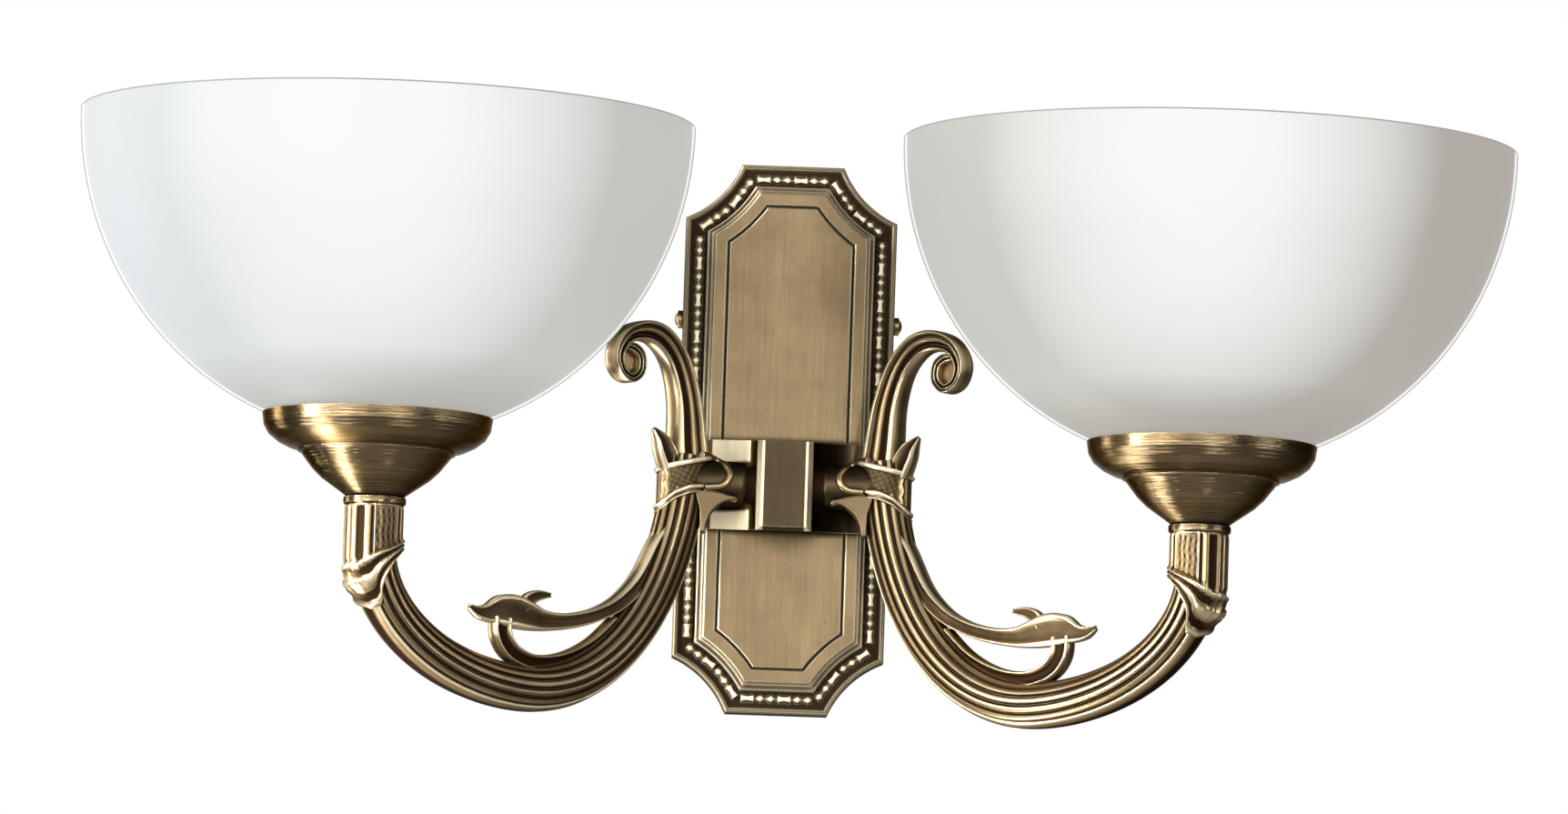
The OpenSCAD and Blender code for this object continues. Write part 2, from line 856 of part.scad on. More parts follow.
// Outer profile of the cup, as [share of the rim radius, share of the height below the rim].
cup_profile = [
    [1, 0], [0.985, 0.15], [0.94, 0.26], [0.86, 0.35], [0.765, 0.415], [0.69, 0.445], [0.68, 0.47], [0.655, 0.485],
    [0.61, 0.57], [0.55, 0.68], [0.47, 0.79], [0.39, 0.87], [0.31, 0.95], [0.262, 1]
];

module fitter_cup() {
    outside = [for (p = cup_profile) [p[0] * cup_r, -p[1] * cup_h]];
    last = len(cup_profile) - 1;
    inside = [
        for (i = [last : -1 : 0])
            [max(outside[i][0] - cup_wall, nipple_r + 1.2), min(outside[i][1] + (i == 0 ? 0 : cup_wall), 0)]
    ];
    color("#a1885a")
        on_stem()
            translate([0, 0, cup_rim_z])
                rotate_extrude($fn = 96)
                    polygon(concat(
                        outside,
                        [[nipple_r + loose_gap, -cup_h], [nipple_r + loose_gap, cup_wall - cup_h]],
                        inside
                    ));
}

module holder_nipple() {
    color("#c2a86a")
        on_stem()
            tube(nipple_r, nipple_bore, stem_top - nipple_in_stem, holder_base + 6);
}

module holder_nut() {
    color("#c2a86a")
        on_stem()
            translate([0, 0, cup_inside])
                hex_nut(13.6, nipple_r + screw_gap, nut_l);
}

// Lampholder: an insulating body with a floor for the contacts and a threaded sleeve outside.
module lampholder() {
    color("#efece4")
        on_stem()
            rotate_extrude($fn = 64)
                polygon([
                    [nipple_r + screw_gap, holder_base], [10.5, holder_base], [12.6, holder_base + 2],
                    [12.6, holder_floor - 4], [holder_r, holder_floor - 3], [holder_r, holder_top],
                    [cap_r + shell_wall + 3, holder_top], [cap_r + shell_wall + 0.65, holder_top - 2],
                    [cap_r + shell_wall + 0.65, holder_floor], [2.2, holder_floor], [2.2, holder_floor - 2.5],
                    [9.6, holder_floor - 2.5], [9.6, holder_base + 6], [nipple_r + screw_gap, holder_base + 4.5]
                ]);
}

module thread_shell() {
    color("#cdb36c")
        on_stem()
            tube(cap_r + 0.05 + shell_wall, cap_r + 0.05, holder_floor, holder_top - 4);
}

module centre_contact() {
    color("#cdb36c")
        on_stem() {
            translate([0, 0, holder_floor - 2.5])
                cylinder(r = 2.1, h = 2.5 + contact_t);
            translate([0, 0, holder_floor])
                cylinder(r = 3.4, h = contact_t);
        }
}

// Glass bowl: an oval profile, cut flat at the rim and at the base, with a hole for the lampholder.
function bowl_points(r, oval, low, high, steps) = [
    for (i = [0 : steps])
        let (start = asin(low / oval), end = asin(high / oval), a = start + (end - start) * i / steps)
        [r * cos(a), glass_rim_z - oval * sin(a)]
];

module glass_shade() {
    depth = glass_rim_z - glass_base;
    outer = bowl_points(glass_r, glass_oval, 0, depth, 28);
    inner = bowl_points(glass_r - glass_wall, glass_oval - glass_wall, 0, depth - glass_wall, 28);
    color([0.93, 0.94, 0.94, 0.85])
        on_stem()
            rotate_extrude($fn = 128)
                polygon(concat(
                    outer,
                    [[glass_hole_r, glass_base], [glass_hole_r, glass_base + glass_wall]],
                    [for (i = [28 : -1 : 0]) inner[i]]
                ));
}

module shade_washer() {
    color("#f4f4f0")
        on_stem()
            tube(ring_r - 1, holder_r + loose_gap, glass_base + glass_wall, glass_base + glass_wall + washer_t);
}

module shade_ring() {
    color("#f1eee6")
        on_stem()
            translate([0, 0, ring_z])
                rotate_extrude($fn = 64)
                    polygon([
                        [holder_r + screw_gap, 0], [ring_r, 0], [ring_r, 1.8], [holder_r + 3, 2.4],
                        [holder_r + 2, ring_h], [holder_r + screw_gap, ring_h]
                    ]);
}

module bulb_cap() {
    color("#d8d9da")
        on_stem()
            rotate_extrude($fn = 64)
                polygon([
                    [0, cap_z - cap_tip], [2.4, cap_z - cap_tip], [2.4, cap_z - 1.4], [cap_r - 1, cap_z],
                    [cap_r, cap_z + 1], [cap_r, cap_z + cap_h], [0, cap_z + cap_h]
                ]);
}

module bulb_glass() {
    neck_r = cap_r - 0.4;
    neck_angle = asin(neck_r / bulb_r);
    color([0.98, 0.97, 0.93])
        on_stem() {
            translate([0, 0, bulb_z])
                sphere(r = bulb_r, $fn = 64);
            translate([0, 0, cap_z + cap_h])
                cylinder(r = neck_r, h = bulb_z - cap_z - cap_h - bulb_r * cos(neck_angle) + past);
        }
}

// A lead from the terminal block through the plate, the block, the arm and the stem to its holder.
lead_start_x = 4;
lead_depth = 6;
lead_bottom = block_z + 3;
lead_entry = [
    [lead_start_x, -lead_depth, block_hole_z - block_body[2] / 2],
    [lead_start_x, -lead_depth, block_hole_z - block_body[2] / 2 - 10],
    [3.4, -lead_depth - 0.6, lead_bottom + 4],
    [2.4, -lead_depth - 5.5, block_z + 0.6],
    [1.8, -lead_depth - 11.5, block_z],
    [1.7, -arm_root_depth + 3.2, block_z],
    [2.9, -arm_root_depth + 0.5, block_z],
    [6, -arm_root_depth, block_z],
    [16, -arm_root_depth, block_z],
    [arm_root_x - 5.5, -arm_root_depth, block_z]
];
function to_world(p) =
    [
        arm_root_x + p[0] * cos(splay) + p[1] * sin(splay),
        -arm_root_depth - p[0] * sin(splay) + p[1] * cos(splay),
        p[2]
    ];
lead_corner = to_world([-0.8, 0, block_z - 1.4]);
lead_in_arm = [for (i = [1 : 2 : len(arm_line) - 2]) to_world(arm_line[i])];
lead_end = [for (z = [stem_knee + 6, stem_top, holder_base, holder_floor - 2.5]) to_world([arm_reach, 0, z])];
lead_turn = smooth(concat(lead_entry, [lead_corner, lead_in_arm[0]]), 3);
lead_line = concat(lead_turn, [for (i = [1 : len(lead_in_arm) - 1]) lead_in_arm[i]], lead_end);

module lead() {
    color("#f2f2f0")
        sweep(lead_line, round_outline(lead_r, lead_sides), [sin(splay), cos(splay), 0]);
}

back_plate();
wall_bracket();
on_left() side_screw();  // side_screw_left
on_right() side_screw();  // side_screw_right
terminal_block();
terminal_screw();
earth_screw();
centre_block();
block_screws();
on_left() arm();  // arm_left
on_right() arm();  // arm_right
on_left() arm_nipple();  // arm_nipple_left
on_right() arm_nipple();  // arm_nipple_right
on_left() arm_nut();  // arm_nut_left
on_right() arm_nut();  // arm_nut_right
on_left() neck_collar();  // neck_collar_left
on_right() neck_collar();  // neck_collar_right
on_left() fitter_cup();  // fitter_cup_left
on_right() fitter_cup();  // fitter_cup_right
on_left() holder_nipple();  // holder_nipple_left
on_right() holder_nipple();  // holder_nipple_right
on_left() holder_nut();  // holder_nut_left
on_right() holder_nut();  // holder_nut_right
on_left() lampholder();  // lampholder_left
on_right() lampholder();  // lampholder_right
on_left() thread_shell();  // thread_shell_left
on_right() thread_shell();  // thread_shell_right
on_left() centre_contact();  // centre_contact_left
on_right() centre_contact();  // centre_contact_right
on_left() glass_shade();  // glass_shade_left
on_right() glass_shade();  // glass_shade_right
on_left() shade_washer();  // shade_washer_left
on_right() shade_washer();  // shade_washer_right
on_left() shade_ring();  // shade_ring_left
on_right() shade_ring();  // shade_ring_right
on_left() bulb_cap();  // bulb_cap_left
on_right() bulb_cap();  // bulb_cap_right
on_left() bulb_glass();  // bulb_glass_left
on_right() bulb_glass();  // bulb_glass_right
on_left() lead();  // lead_left
on_right() lead();  // lead_right
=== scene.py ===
# %% [markdown]
# # A wall lamp in antiqued brass with satin glass bowls
# The hard parts of the lamp come from its CAD model, which is loaded as a fixed frame. This lesson
# dresses them: brass that is dark in its hollows and bright on its edges, satin glass with a lamp
# burning behind it, and the carved parts of the two arms, which are modelled here.

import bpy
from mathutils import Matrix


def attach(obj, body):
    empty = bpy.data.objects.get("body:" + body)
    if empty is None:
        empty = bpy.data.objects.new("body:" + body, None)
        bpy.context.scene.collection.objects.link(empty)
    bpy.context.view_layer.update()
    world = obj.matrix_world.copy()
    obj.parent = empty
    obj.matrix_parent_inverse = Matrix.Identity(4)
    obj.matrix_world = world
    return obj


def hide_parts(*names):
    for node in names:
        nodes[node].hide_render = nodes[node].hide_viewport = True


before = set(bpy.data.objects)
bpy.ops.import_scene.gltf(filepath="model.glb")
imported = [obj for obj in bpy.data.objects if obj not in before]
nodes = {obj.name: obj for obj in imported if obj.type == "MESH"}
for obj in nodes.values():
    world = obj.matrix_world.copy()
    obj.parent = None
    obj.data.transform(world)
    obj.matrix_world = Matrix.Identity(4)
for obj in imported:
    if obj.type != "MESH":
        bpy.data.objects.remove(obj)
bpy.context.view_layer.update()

# %% Blender's own tools
import math

import bmesh
import bpy
from mathutils import Matrix, Vector

MM = 0.001
scene = bpy.context.scene

# %% [markdown]
# ## The lamp's own measures
# The carved parts lie on the CAD solids, so their sizes are those of the solids: where each arm
# starts, how far its plane swings out from the wall, and where the stems and cups stand. Lengths are
# in millimetres, and MM turns them into Blender's metres.

# %% Measures shared with the solids
PLATE_Z = -38.0
BLOCK_Z = PLATE_Z - 16.6
ROOT_X, ROOT_DEPTH = 32.0, 26.0
SPLAY = math.radians(40)
REACH = 126.0
STEM_X = ROOT_X + REACH * math.cos(SPLAY)
STEM_Y = -(ROOT_DEPTH + REACH * math.sin(SPLAY))
CUP_RIM_Z = PLATE_Z - 7.5
CUP_FLOOR_Z = CUP_RIM_Z - 25
GLASS_RIM_Z, GLASS_R, GLASS_OVAL = 47.7, 96.0, 100.0
# Levels of the plate's moulding, as distances from the wall.
BEAD_FLOOR, RIM_LEVEL, BEAD_CREST, LINE_FLOOR, PANEL_LEVEL = 8.2, 9.0, 9.55, 13.1, 14.0
# The block's two front chamfers, from its middle outward, and how far from the wall they begin.
CHAMFER_IN, CHAMFER_OUT, CHAMFER_DEPTH = 6.8, 9.0, 32.0
# A painted highlight on its left foot, from its middle outward, and clear of the boss by this much.
FOOT_IN, FOOT_OUT, FOOT_CLEAR = 11.2, 22.8, 8.4
print("stems stand at x", round(STEM_X, 1), "y", round(STEM_Y, 1))

# %% [markdown]
# ## Camera
# The photograph looks up at the lamp by six degrees from about four metres, with the lens almost
# square to the wall and the lamp hanging a little clockwise. A long lens keeps that flat look.

# %% Camera
CAMERA_AWAY = 4.0
SENSOR = 36.0
PIXELS_PER_MM = 3.434
FRAME_W, FRAME_H = 1724, 895
YAW, PITCH, ROLL = math.radians(0.93), math.radians(6.0), math.radians(1.89)
CENTRE_PX = (862.2, 486.3)

camera_data = bpy.data.cameras.new("camera")
camera = bpy.data.objects.new("camera", camera_data)
scene.collection.objects.link(camera)
scene.camera = camera
camera_data.sensor_width = SENSOR
camera_data.lens = SENSOR * PIXELS_PER_MM * CAMERA_AWAY / MM / FRAME_W
camera_data.shift_x = (FRAME_W / 2 - CENTRE_PX[0]) / FRAME_W
camera_data.shift_y = (CENTRE_PX[1] - FRAME_H / 2) / FRAME_W
camera_data.clip_start, camera_data.clip_end = 0.1, 60
looking = Vector((math.sin(YAW) * math.cos(PITCH), math.cos(YAW) * math.cos(PITCH), math.sin(PITCH)))
target = Vector((0, 0, PLATE_Z * MM))
camera.matrix_world = (
    Matrix.Translation(target - looking * CAMERA_AWAY)
    @ looking.to_track_quat("-Z", "Y").to_matrix().to_4x4()
    @ Matrix.Rotation(ROLL, 4, "Z")
)
print("lens", round(camera_data.lens), "mm")

# %% [markdown]
# ## Shader arithmetic
# A material is a small calculation. Written as Python expressions it stays readable, so one class
# wraps a socket and lets plus, minus and times build the Math nodes. `add_node` makes any other node.

# %% A socket that Python can calculate with
class Signal:
    def __init__(self, tree, socket):
        self.tree, self.socket = tree, socket

    def maths(self, operation, *others, first=None):
        values = [self, *others] if first is None else [first, self]
        return add_node(self.tree, "ShaderNodeMath", {"operation": operation}, values)

    def __add__(self, other):
        return self.maths("ADD", other)

    def __sub__(self, other):
        return self.maths("SUBTRACT", other)

    def __mul__(self, other):
        return self.maths("MULTIPLY", other)

    def __rsub__(self, other):
        return self.maths("SUBTRACT", first=other)

    __radd__, __rmul__ = __add__, __mul__

    def between(self, low, high):
        """0 up to the low value and 1 from the high value on, with an even rise from one to the other."""
        return ((self - low) * (1 / (high - low))).maths("MAXIMUM", 0.0).maths("MINIMUM", 1.0)


def add_node(tree, kind, settings, values, output=0):
    node = tree.nodes.new(kind)
    for name, value in settings.items():
        setattr(node, name, value)
    pairs = values.items() if isinstance(values, dict) else enumerate(values)
    for name, value in pairs:
        socket = node.inputs[name]
        if isinstance(value, Signal):
            tree.links.new(value.socket, socket)
        else:
            socket.default_value = value
    return Signal(tree, node.outputs[output])


# %% A material with one Principled shader, and how pieces wear it
def toned(colour, share):
    return tuple(share * c for c in colour[:3]) + (1,)


class Finish:
    def __init__(self, name, **sockets):
        self.material = bpy.data.materials.new(name)
        self.material.use_nodes = True
        self.tree = self.material.node_tree
        self.tree.nodes.clear()
        self.shader = self.tree.nodes.new("ShaderNodeBsdfPrincipled")
        output = self.tree.nodes.new("ShaderNodeOutputMaterial")
        self.tree.links.new(self.shader.outputs[0], output.inputs["Surface"])
        for socket, value in sockets.items():
            self.shader.inputs[socket.replace("_", " ")].default_value = value

    def node(self, kind, settings=None, values=(), output=0):
        return add_node(self.tree, kind, settings or {}, values, output)

    def drive(self, socket, signal):
        self.tree.links.new(signal.socket, self.shader.inputs[socket])

    def place(self):
        return self.node("ShaderNodeTexCoord", output="Object")

    def axes(self):
        split = self.tree.nodes.new("ShaderNodeSeparateXYZ")
        self.tree.links.new(self.place().socket, split.inputs[0])
        return [Signal(self.tree, out) for out in split.outputs]

    def vector(self, x, y, z):
        return self.node("ShaderNodeCombineXYZ", {}, [x, y, z])

    def noise(self, vector, scale, detail=2.0, roughness=0.5):
        return self.node(
            "ShaderNodeTexNoise", {"noise_dimensions": "3D"},
            {"Vector": vector, "Scale": scale, "Detail": detail, "Roughness": roughness},
        )

    def blend(self, amount, first, second):
        return self.node(
            "ShaderNodeMix", {"data_type": "RGBA"}, {0: amount, 6: first, 7: second}, output=2
        )

    def bump(self, height, strength, distance, normal=None):
        values = {"Strength": strength, "Distance": distance, "Height": height}
        if normal is not None:
            values["Normal"] = normal
        return self.node("ShaderNodeBump", {}, values)


def wear(names, finish):
    for name in names:
        piece = nodes[name] if isinstance(name, str) else name
        piece.data.materials.clear()
        piece.data.materials.append(finish.material)


def both(name):
    return [name + "_left", name + "_right"]


# %% [markdown]
# ## Antiqued brass
# The real finish is brass darkened all over with a brown oxide and then rubbed back, so it stays
# dark where a cloth can't reach and shines on every edge. Ambient Occlusion finds the hollows. The
# Bevel node finds the edges: where its rounded normal leaves the true one, the metal is rubbed bright.
# The modelled carving brings its own record of how deep it is cut, as the attribute `hollow`; on the
# arm's spine, the web under the boss and the boss's neck that record holds painted shade instead.

# %% Antiqued brass
BRASS = (0.50, 0.365, 0.20, 1)
OXIDE = (0.020, 0.010, 0.0045, 1)
RUBBED = (0.95, 0.84, 0.58, 1)
# Metal turns white at a glancing angle, and this tint keeps that sheen low and brown.
EDGE_TINT = (0.27, 0.22, 0.17, 1)

CLOUD_SCALE, SPECK_SCALE = 70.0, 700.0


def antique_brass(
    name, reach, edge, dark=(0.1, 0.42), tone=1.0, roughness=0.3, grain=None, grain_depth=0.0,
    cast=0.25, sunk=None, wear_and_highlights=None,
):
    """Brass whose hollows are felt over `reach` and whose edges are rubbed over `edge`, in millimetres.

    `dark` says where a hollow starts to darken and where it is quite dark, and `tone` how bright the
    open metal is. `cast` is the height of the casting's fine pits.
    `grain` draws brush marks and `sunk` adds hollows. The wear argument adds rubbed and bare places by
    position, and on the block also painted highlights.
    """
    finish = Finish(name, Specular_Tint=EDGE_TINT)
    place = finish.place()
    clouds = finish.noise(place, CLOUD_SCALE, 4.0, 0.6)
    specks = finish.noise(place, SPECK_SCALE, 3.0, 0.65)
    open_sky = finish.node(
        "ShaderNodeAmbientOcclusion", {"samples": 8}, {"Distance": reach * MM}, output="AO"
    )
    hollow = (1 - open_sky + (clouds - 0.5) * 0.18).between(*dark)
    # The carving's record of its cuts, which also holds painted shade on the spine, the elbow web and the
    # boss's neck.
    cut_and_shade = finish.node("ShaderNodeAttribute", {"attribute_name": "hollow"}, output="Fac")
    hollow = hollow.maths("MAXIMUM", (cut_and_shade + (clouds - 0.5) * 0.4 * cut_and_shade).between(0.05, 0.62))
    crest = (-1.0 * cut_and_shade - (clouds - 0.5) * 0.3).between(0.1, 0.8)
    if sunk:
        hollow = hollow.maths("MAXIMUM", sunk(finish))
    rounded = finish.node("ShaderNodeBevel", {"samples": 6}, {"Radius": edge * MM})
    true_normal = finish.node("ShaderNodeNewGeometry", output="Normal")
    match = finish.node(
        "ShaderNodeVectorMath", {"operation": "DOT_PRODUCT"}, [rounded, true_normal], output="Value"
    )
    rubbed = ((1 - match).between(0.01, 0.1) * (1 - hollow * 0.8)).maths("MAXIMUM", crest)
    bare = crest * 0.3
    if wear_and_highlights:
        # Rubbed crests on the plate's beads; on the block, painted highlights.
        edges, bare_and_highlight = wear_and_highlights(finish)
        rubbed = rubbed.maths("MAXIMUM", edges)
        bare = bare + bare_and_highlight
    colour = finish.blend(
        clouds.between(0.35, 0.7) * 0.5, toned(BRASS, tone), toned(BRASS, 0.6 * tone)
    )
    if grain:
        streaks = grain(finish)
        colour = finish.blend(streaks.between(0.35, 0.75) * 0.45, colour, toned(BRASS, 0.42 * tone))
    colour = finish.blend(specks.between(0.68, 0.76) * 0.7, colour, OXIDE)
    colour = finish.blend(hollow, colour, OXIDE)
    finish.drive("Base Color", finish.blend(rubbed, colour, RUBBED))
    finish.drive("Metallic", 1 - hollow * 0.2 - bare)
    finish.drive("Roughness", hollow * 0.3 + roughness + (clouds - 0.5) * 0.1)
    height = specks * cast if grain is None else streaks * grain_depth + specks * cast
    finish.drive("Normal", finish.bump(height, 0.6, 0.0001, rounded))
    return finish


# %% What place alone decides: grain, dark channels, rubbed crests and the block's painted highlights
def upright_grain(finish):
    x, y, z = finish.axes()
    return finish.noise(finish.vector(x, y, z * 0.03), 1500.0, 4.0, 0.7)


def turned_grain(finish):
    x, y, z = finish.axes()
    across = x.maths("ABSOLUTE") - STEM_X * MM
    deep = y - STEM_Y * MM
    radius = (across * across + deep * deep).maths("SQRT")
    return finish.noise(finish.vector(radius, 0.0, z), 1700.0, 3.0, 0.7)


def at_level(depth, low, high, soft=0.04):
    """1 where the metal stands between two distances from the wall, in millimetres."""
    above = depth.between((low - soft) * MM, low * MM)
    return above * (1 - depth.between(high * MM, (high + soft) * MM))


def plate_hollows(finish):
    """The bead channel, the outer rim and the engraved line, found by their distance from the wall."""
    x, y, z = finish.axes()
    depth = -1.0 * y
    channel = 1 - depth.between((BEAD_FLOOR + 0.3) * MM, (RIM_LEVEL - 0.1) * MM)
    rim = at_level(depth, RIM_LEVEL - 0.04, RIM_LEVEL + 0.04)
    line = at_level(depth, LINE_FLOOR - 0.03, PANEL_LEVEL - 0.35)
    return (channel * 0.92).maths("MAXIMUM", rim * 0.45).maths("MAXIMUM", line * 0.95)


def block_wear_and_highlights(finish):
    """Bright chamfers, partly wear and partly painted highlight, and a painted highlight on the left foot
    above and below the boss.
    """
    x, y, z = finish.axes()
    out = x.maths("ABSOLUTE")
    chamfers = out.between((CHAMFER_IN - 0.4) * MM, CHAMFER_IN * MM)
    chamfers = chamfers * (1 - out.between(CHAMFER_OUT * MM, (CHAMFER_OUT + 0.3) * MM))
    chamfers = chamfers * (1 - y.between(-CHAMFER_DEPTH * MM, (1 - CHAMFER_DEPTH) * MM))
    from_boss = (z - BLOCK_Z * MM).maths("ABSOLUTE")
    foot = 1 - x.between(-FOOT_IN * MM, (0.4 - FOOT_IN) * MM)
    foot = foot * x.between((-FOOT_OUT - 0.4) * MM, -FOOT_OUT * MM)
    foot = foot * from_boss.between((FOOT_CLEAR - 1) * MM, FOOT_CLEAR * MM)
    return (chamfers * 0.7).maths("MAXIMUM", foot * 0.95), foot * 0.9


def bead_wear(finish):
    """The crests of the beads and reels, which stand a little above the rim beside them."""
    x, y, z = finish.axes()
    crests = at_level(-1.0 * y, RIM_LEVEL + 0.3, BEAD_CREST + 0.1, 0.2)
    return crests * 0.9, crests * 0.6


cast_brass = antique_brass("cast_brass", 3.0, 0.4, (0.3, 0.7), tone=0.85, roughness=0.3)
# The boss wears a far darker tone than the arms: painted shade.
boss_painted_shade_brass = antique_brass("boss_painted_shade_brass", 4.0, 0.35, tone=0.14, roughness=0.4)
dark_brass = antique_brass(
    "dark_brass", 4.0, 0.35, (0.3, 0.7), tone=0.11, roughness=0.34,
    grain=upright_grain, grain_depth=0.2, wear_and_highlights=block_wear_and_highlights,
)
plate_brass = antique_brass(
    "plate_brass", 3.0, 0.85, (0.14, 0.5), tone=0.39, roughness=0.42,
    grain=upright_grain, grain_depth=0.5, cast=0.1, sunk=plate_hollows, wear_and_highlights=bead_wear,
)
spun_brass = antique_brass(
    "spun_brass", 4.0, 0.35, (0.15, 0.5), tone=0.46, roughness=0.2,
    grain=turned_grain, grain_depth=5.0, cast=0.03,
)
wear(["back_plate"], plate_brass)
wear(["centre_block"], dark_brass)
wear([*both("arm"), *both("side_screw")], cast_brass)
wear([*both("fitter_cup"), *both("neck_collar")], spun_brass)
print("five brasses mixed")

# %% [markdown]
# ## Plain metal, plastic and the washer
# The hidden parts are bought in: machined brass tubes and nuts, zinc-plated steel, a white nylon
# terminal block and cream lampholders. They show from behind and above, so each gets a fine grain.

# %% Bought-in parts
STREAKS = 600.0


def plain_metal(name, colour, roughness):
    finish = Finish(name, Metallic=1.0)
    x, y, z = finish.axes()
    marks = finish.noise(finish.vector(x * 0.3, y * 0.3, z), STREAKS, 3.0, 0.6)
    finish.drive("Base Color", finish.blend(marks * 0.5, colour, toned(colour, 0.7)))
    finish.drive("Roughness", marks * 0.16 + roughness)
    finish.drive("Normal", finish.bump(marks, 0.2, 0.00005))
    return finish


def moulding(name, colour, roughness, pebble=1500.0):
    finish = Finish(name)
    skin = finish.noise(finish.place(), pebble, 2.0, 0.5)
    finish.drive("Base Color", finish.blend(skin * 0.25, colour, toned(colour, 0.88)))
    finish.drive("Roughness", skin * 0.12 + roughness)
    finish.drive("Normal", finish.bump(skin, 0.15, 0.00004))
    return finish


machined_brass = plain_metal("machined_brass", (0.72, 0.58, 0.30, 1), 0.22)
contact_brass = plain_metal("contact_brass", (0.8, 0.66, 0.36, 1), 0.18)
zinc_plate = plain_metal("zinc_plate", (0.62, 0.64, 0.66, 1), 0.3)
cream_resin = moulding("cream_resin", (0.84, 0.81, 0.72, 1), 0.32)
for part in ("arm_nipple", "arm_nut", "holder_nipple", "holder_nut"):
    wear(both(part), machined_brass)
wear(["earth_screw"], machined_brass)
wear([*both("thread_shell"), *both("centre_contact")], contact_brass)
wear(["wall_bracket", "block_screws", "terminal_screw"], zinc_plate)
wear(both("bulb_cap"), plain_metal("nickel_plate", (0.72, 0.71, 0.69, 1), 0.2))
wear(["terminal_block"], moulding("white_nylon", (0.80, 0.79, 0.74, 1), 0.5))
wear([*both("lampholder"), *both("shade_ring")], cream_resin)
wear(both("shade_washer"), moulding("soft_washer", (0.78, 0.77, 0.73, 1), 0.65, 2500.0))
wear(both("lead"), moulding("lead_sleeve", (0.82, 0.81, 0.78, 1), 0.55, 1200.0))
print("bought-in parts finished")

# %% [markdown]
# ## Satin glass
# Acid leaves the glass with a fine tooth that spreads the lamp's light. That light is painted into
# the emission colour: nearly white face on, falling to a painted grey where the glass turns away,
# with a painted bright line and a painted dark one at its edge. Layer Weight gives that turn, and the
# height gives a painted slow fall of light from the lamp to the rim and a painted shade from the cup.
# The greys are painted lighter and cooler on the left bowl than on the right.

# %% Satin glass
GLOW, LINE_WHITE = (0.875, 0.885, 0.875, 1), (0.88, 0.88, 0.88, 1)
CUP_SHADE, EDGE_SHADE_GREY = (0.33, 0.31, 0.26, 1), (0.36, 0.36, 0.34, 1)


def satin_glass(name, axis, left_shade, right_shade):
    """Satin glass round an upright axis, its glow painted into the emission: turned-away parts go from one
    painted grey to another.
    """
    finish = Finish(name, Roughness=0.5, Specular_IOR_Level=0.1, Emission_Strength=1.0)
    x, y, z = finish.axes()
    across = x - axis * MM
    oval = finish.node("ShaderNodeVectorMath", {"operation": "NORMALIZE"}, [finish.vector(
        across, y - STEM_Y * MM, (z - GLASS_RIM_Z * MM) * (GLASS_R / GLASS_OVAL) ** 2
    )])
    facing = finish.node("ShaderNodeLayerWeight", {}, {"Blend": 0.5, "Normal": oval}, output="Facing")
    tooth = finish.noise(finish.place(), 1500.0, 2.0, 0.6)
    # Painted light: below the middle the glass glows a little more for the same turn.
    lower = 1 - z.between(-30 * MM, 12 * MM)
    glow = (1 - facing + lower * 0.1 + (tooth - 0.5) * 0.02).between(0.66, 0.98)
    side = finish.blend(across.between(-75 * MM, 75 * MM), left_shade, right_shade)
    lit = finish.blend(glow, side, GLOW)
    # Painted shade of the cup on the glass just above it.
    near_cup = 1 - z.between(-47 * MM, -30 * MM)
    shaded = finish.blend(near_cup * 0.62, lit, CUP_SHADE)
    # A painted bright line where the glass turns away, then a painted dark line there and round the rim.
    bright_line = finish.blend(facing.between(0.84, 0.87), shaded, LINE_WHITE)
    rim_line = z.between((GLASS_RIM_Z - 0.5) * MM, (GLASS_RIM_Z - 0.3) * MM)
    painted_edge = facing.between(0.90, 0.93).maths("MAXIMUM", rim_line)
    finish.drive("Emission Color", finish.blend(painted_edge, bright_line, EDGE_SHADE_GREY))
    finish.drive("Base Color", finish.blend(tooth * 0.2, (0.02, 0.02, 0.02, 1), (0.01, 0.01, 0.01, 1)))
    finish.drive("Normal", finish.bump(tooth, 0.12, 0.00003))
    return finish


# Painted greys where each bowl turns away, left side first: the left bowl lighter and cooler, the right
# darker and warmer.
LEFT_BOWL_SHADE_GREYS = (0.665, 0.70, 0.72, 1), (0.525, 0.53, 0.495, 1)
RIGHT_BOWL_SHADE_GREYS = (0.53, 0.535, 0.50, 1), (0.42, 0.39, 0.355, 1)
wear(["glass_shade_left"], satin_glass("satin_glass_painted_light_left", -STEM_X, *LEFT_BOWL_SHADE_GREYS))
wear(["glass_shade_right"], satin_glass("satin_glass_painted_light_right", STEM_X, *RIGHT_BOWL_SHADE_GREYS))

bulb = Finish("opal_bulb", Roughness=0.2, Emission_Strength=3.0)
bulb_haze = bulb.noise(bulb.place(), 120.0)
bulb.drive("Emission Color", bulb.blend(bulb_haze, (1.0, 0.95, 0.86, 1), (1.0, 0.91, 0.78, 1)))
bulb.drive("Base Color", bulb.blend(bulb_haze, (0.9, 0.89, 0.85, 1), (0.86, 0.85, 0.8, 1)))
wear(both("bulb_glass"), bulb)
print("glass finished")

# %% [markdown]
# ## The arms, drawn out ring by ring
# Each arm is one casting with strands that swell, thin out and curl. Such a strand can be made like a
# bar of soft metal drawn through a shaped hole: an outline is placed at one end, extruded, and set
# again at each station along the way. The arm is worked flat on a bench, with `along` running out
# from the plate and `up` rising, and put in its place at the end. The left arm is its mirror image.

# %% Bench and stations
ARM_LOW = PLATE_Z - 87.5
STEM_TOP = CUP_FLOOR_Z - 3.2
KNEE = STEM_TOP - 17
MID = 0.51 * REACH
BAR_R = 7.4


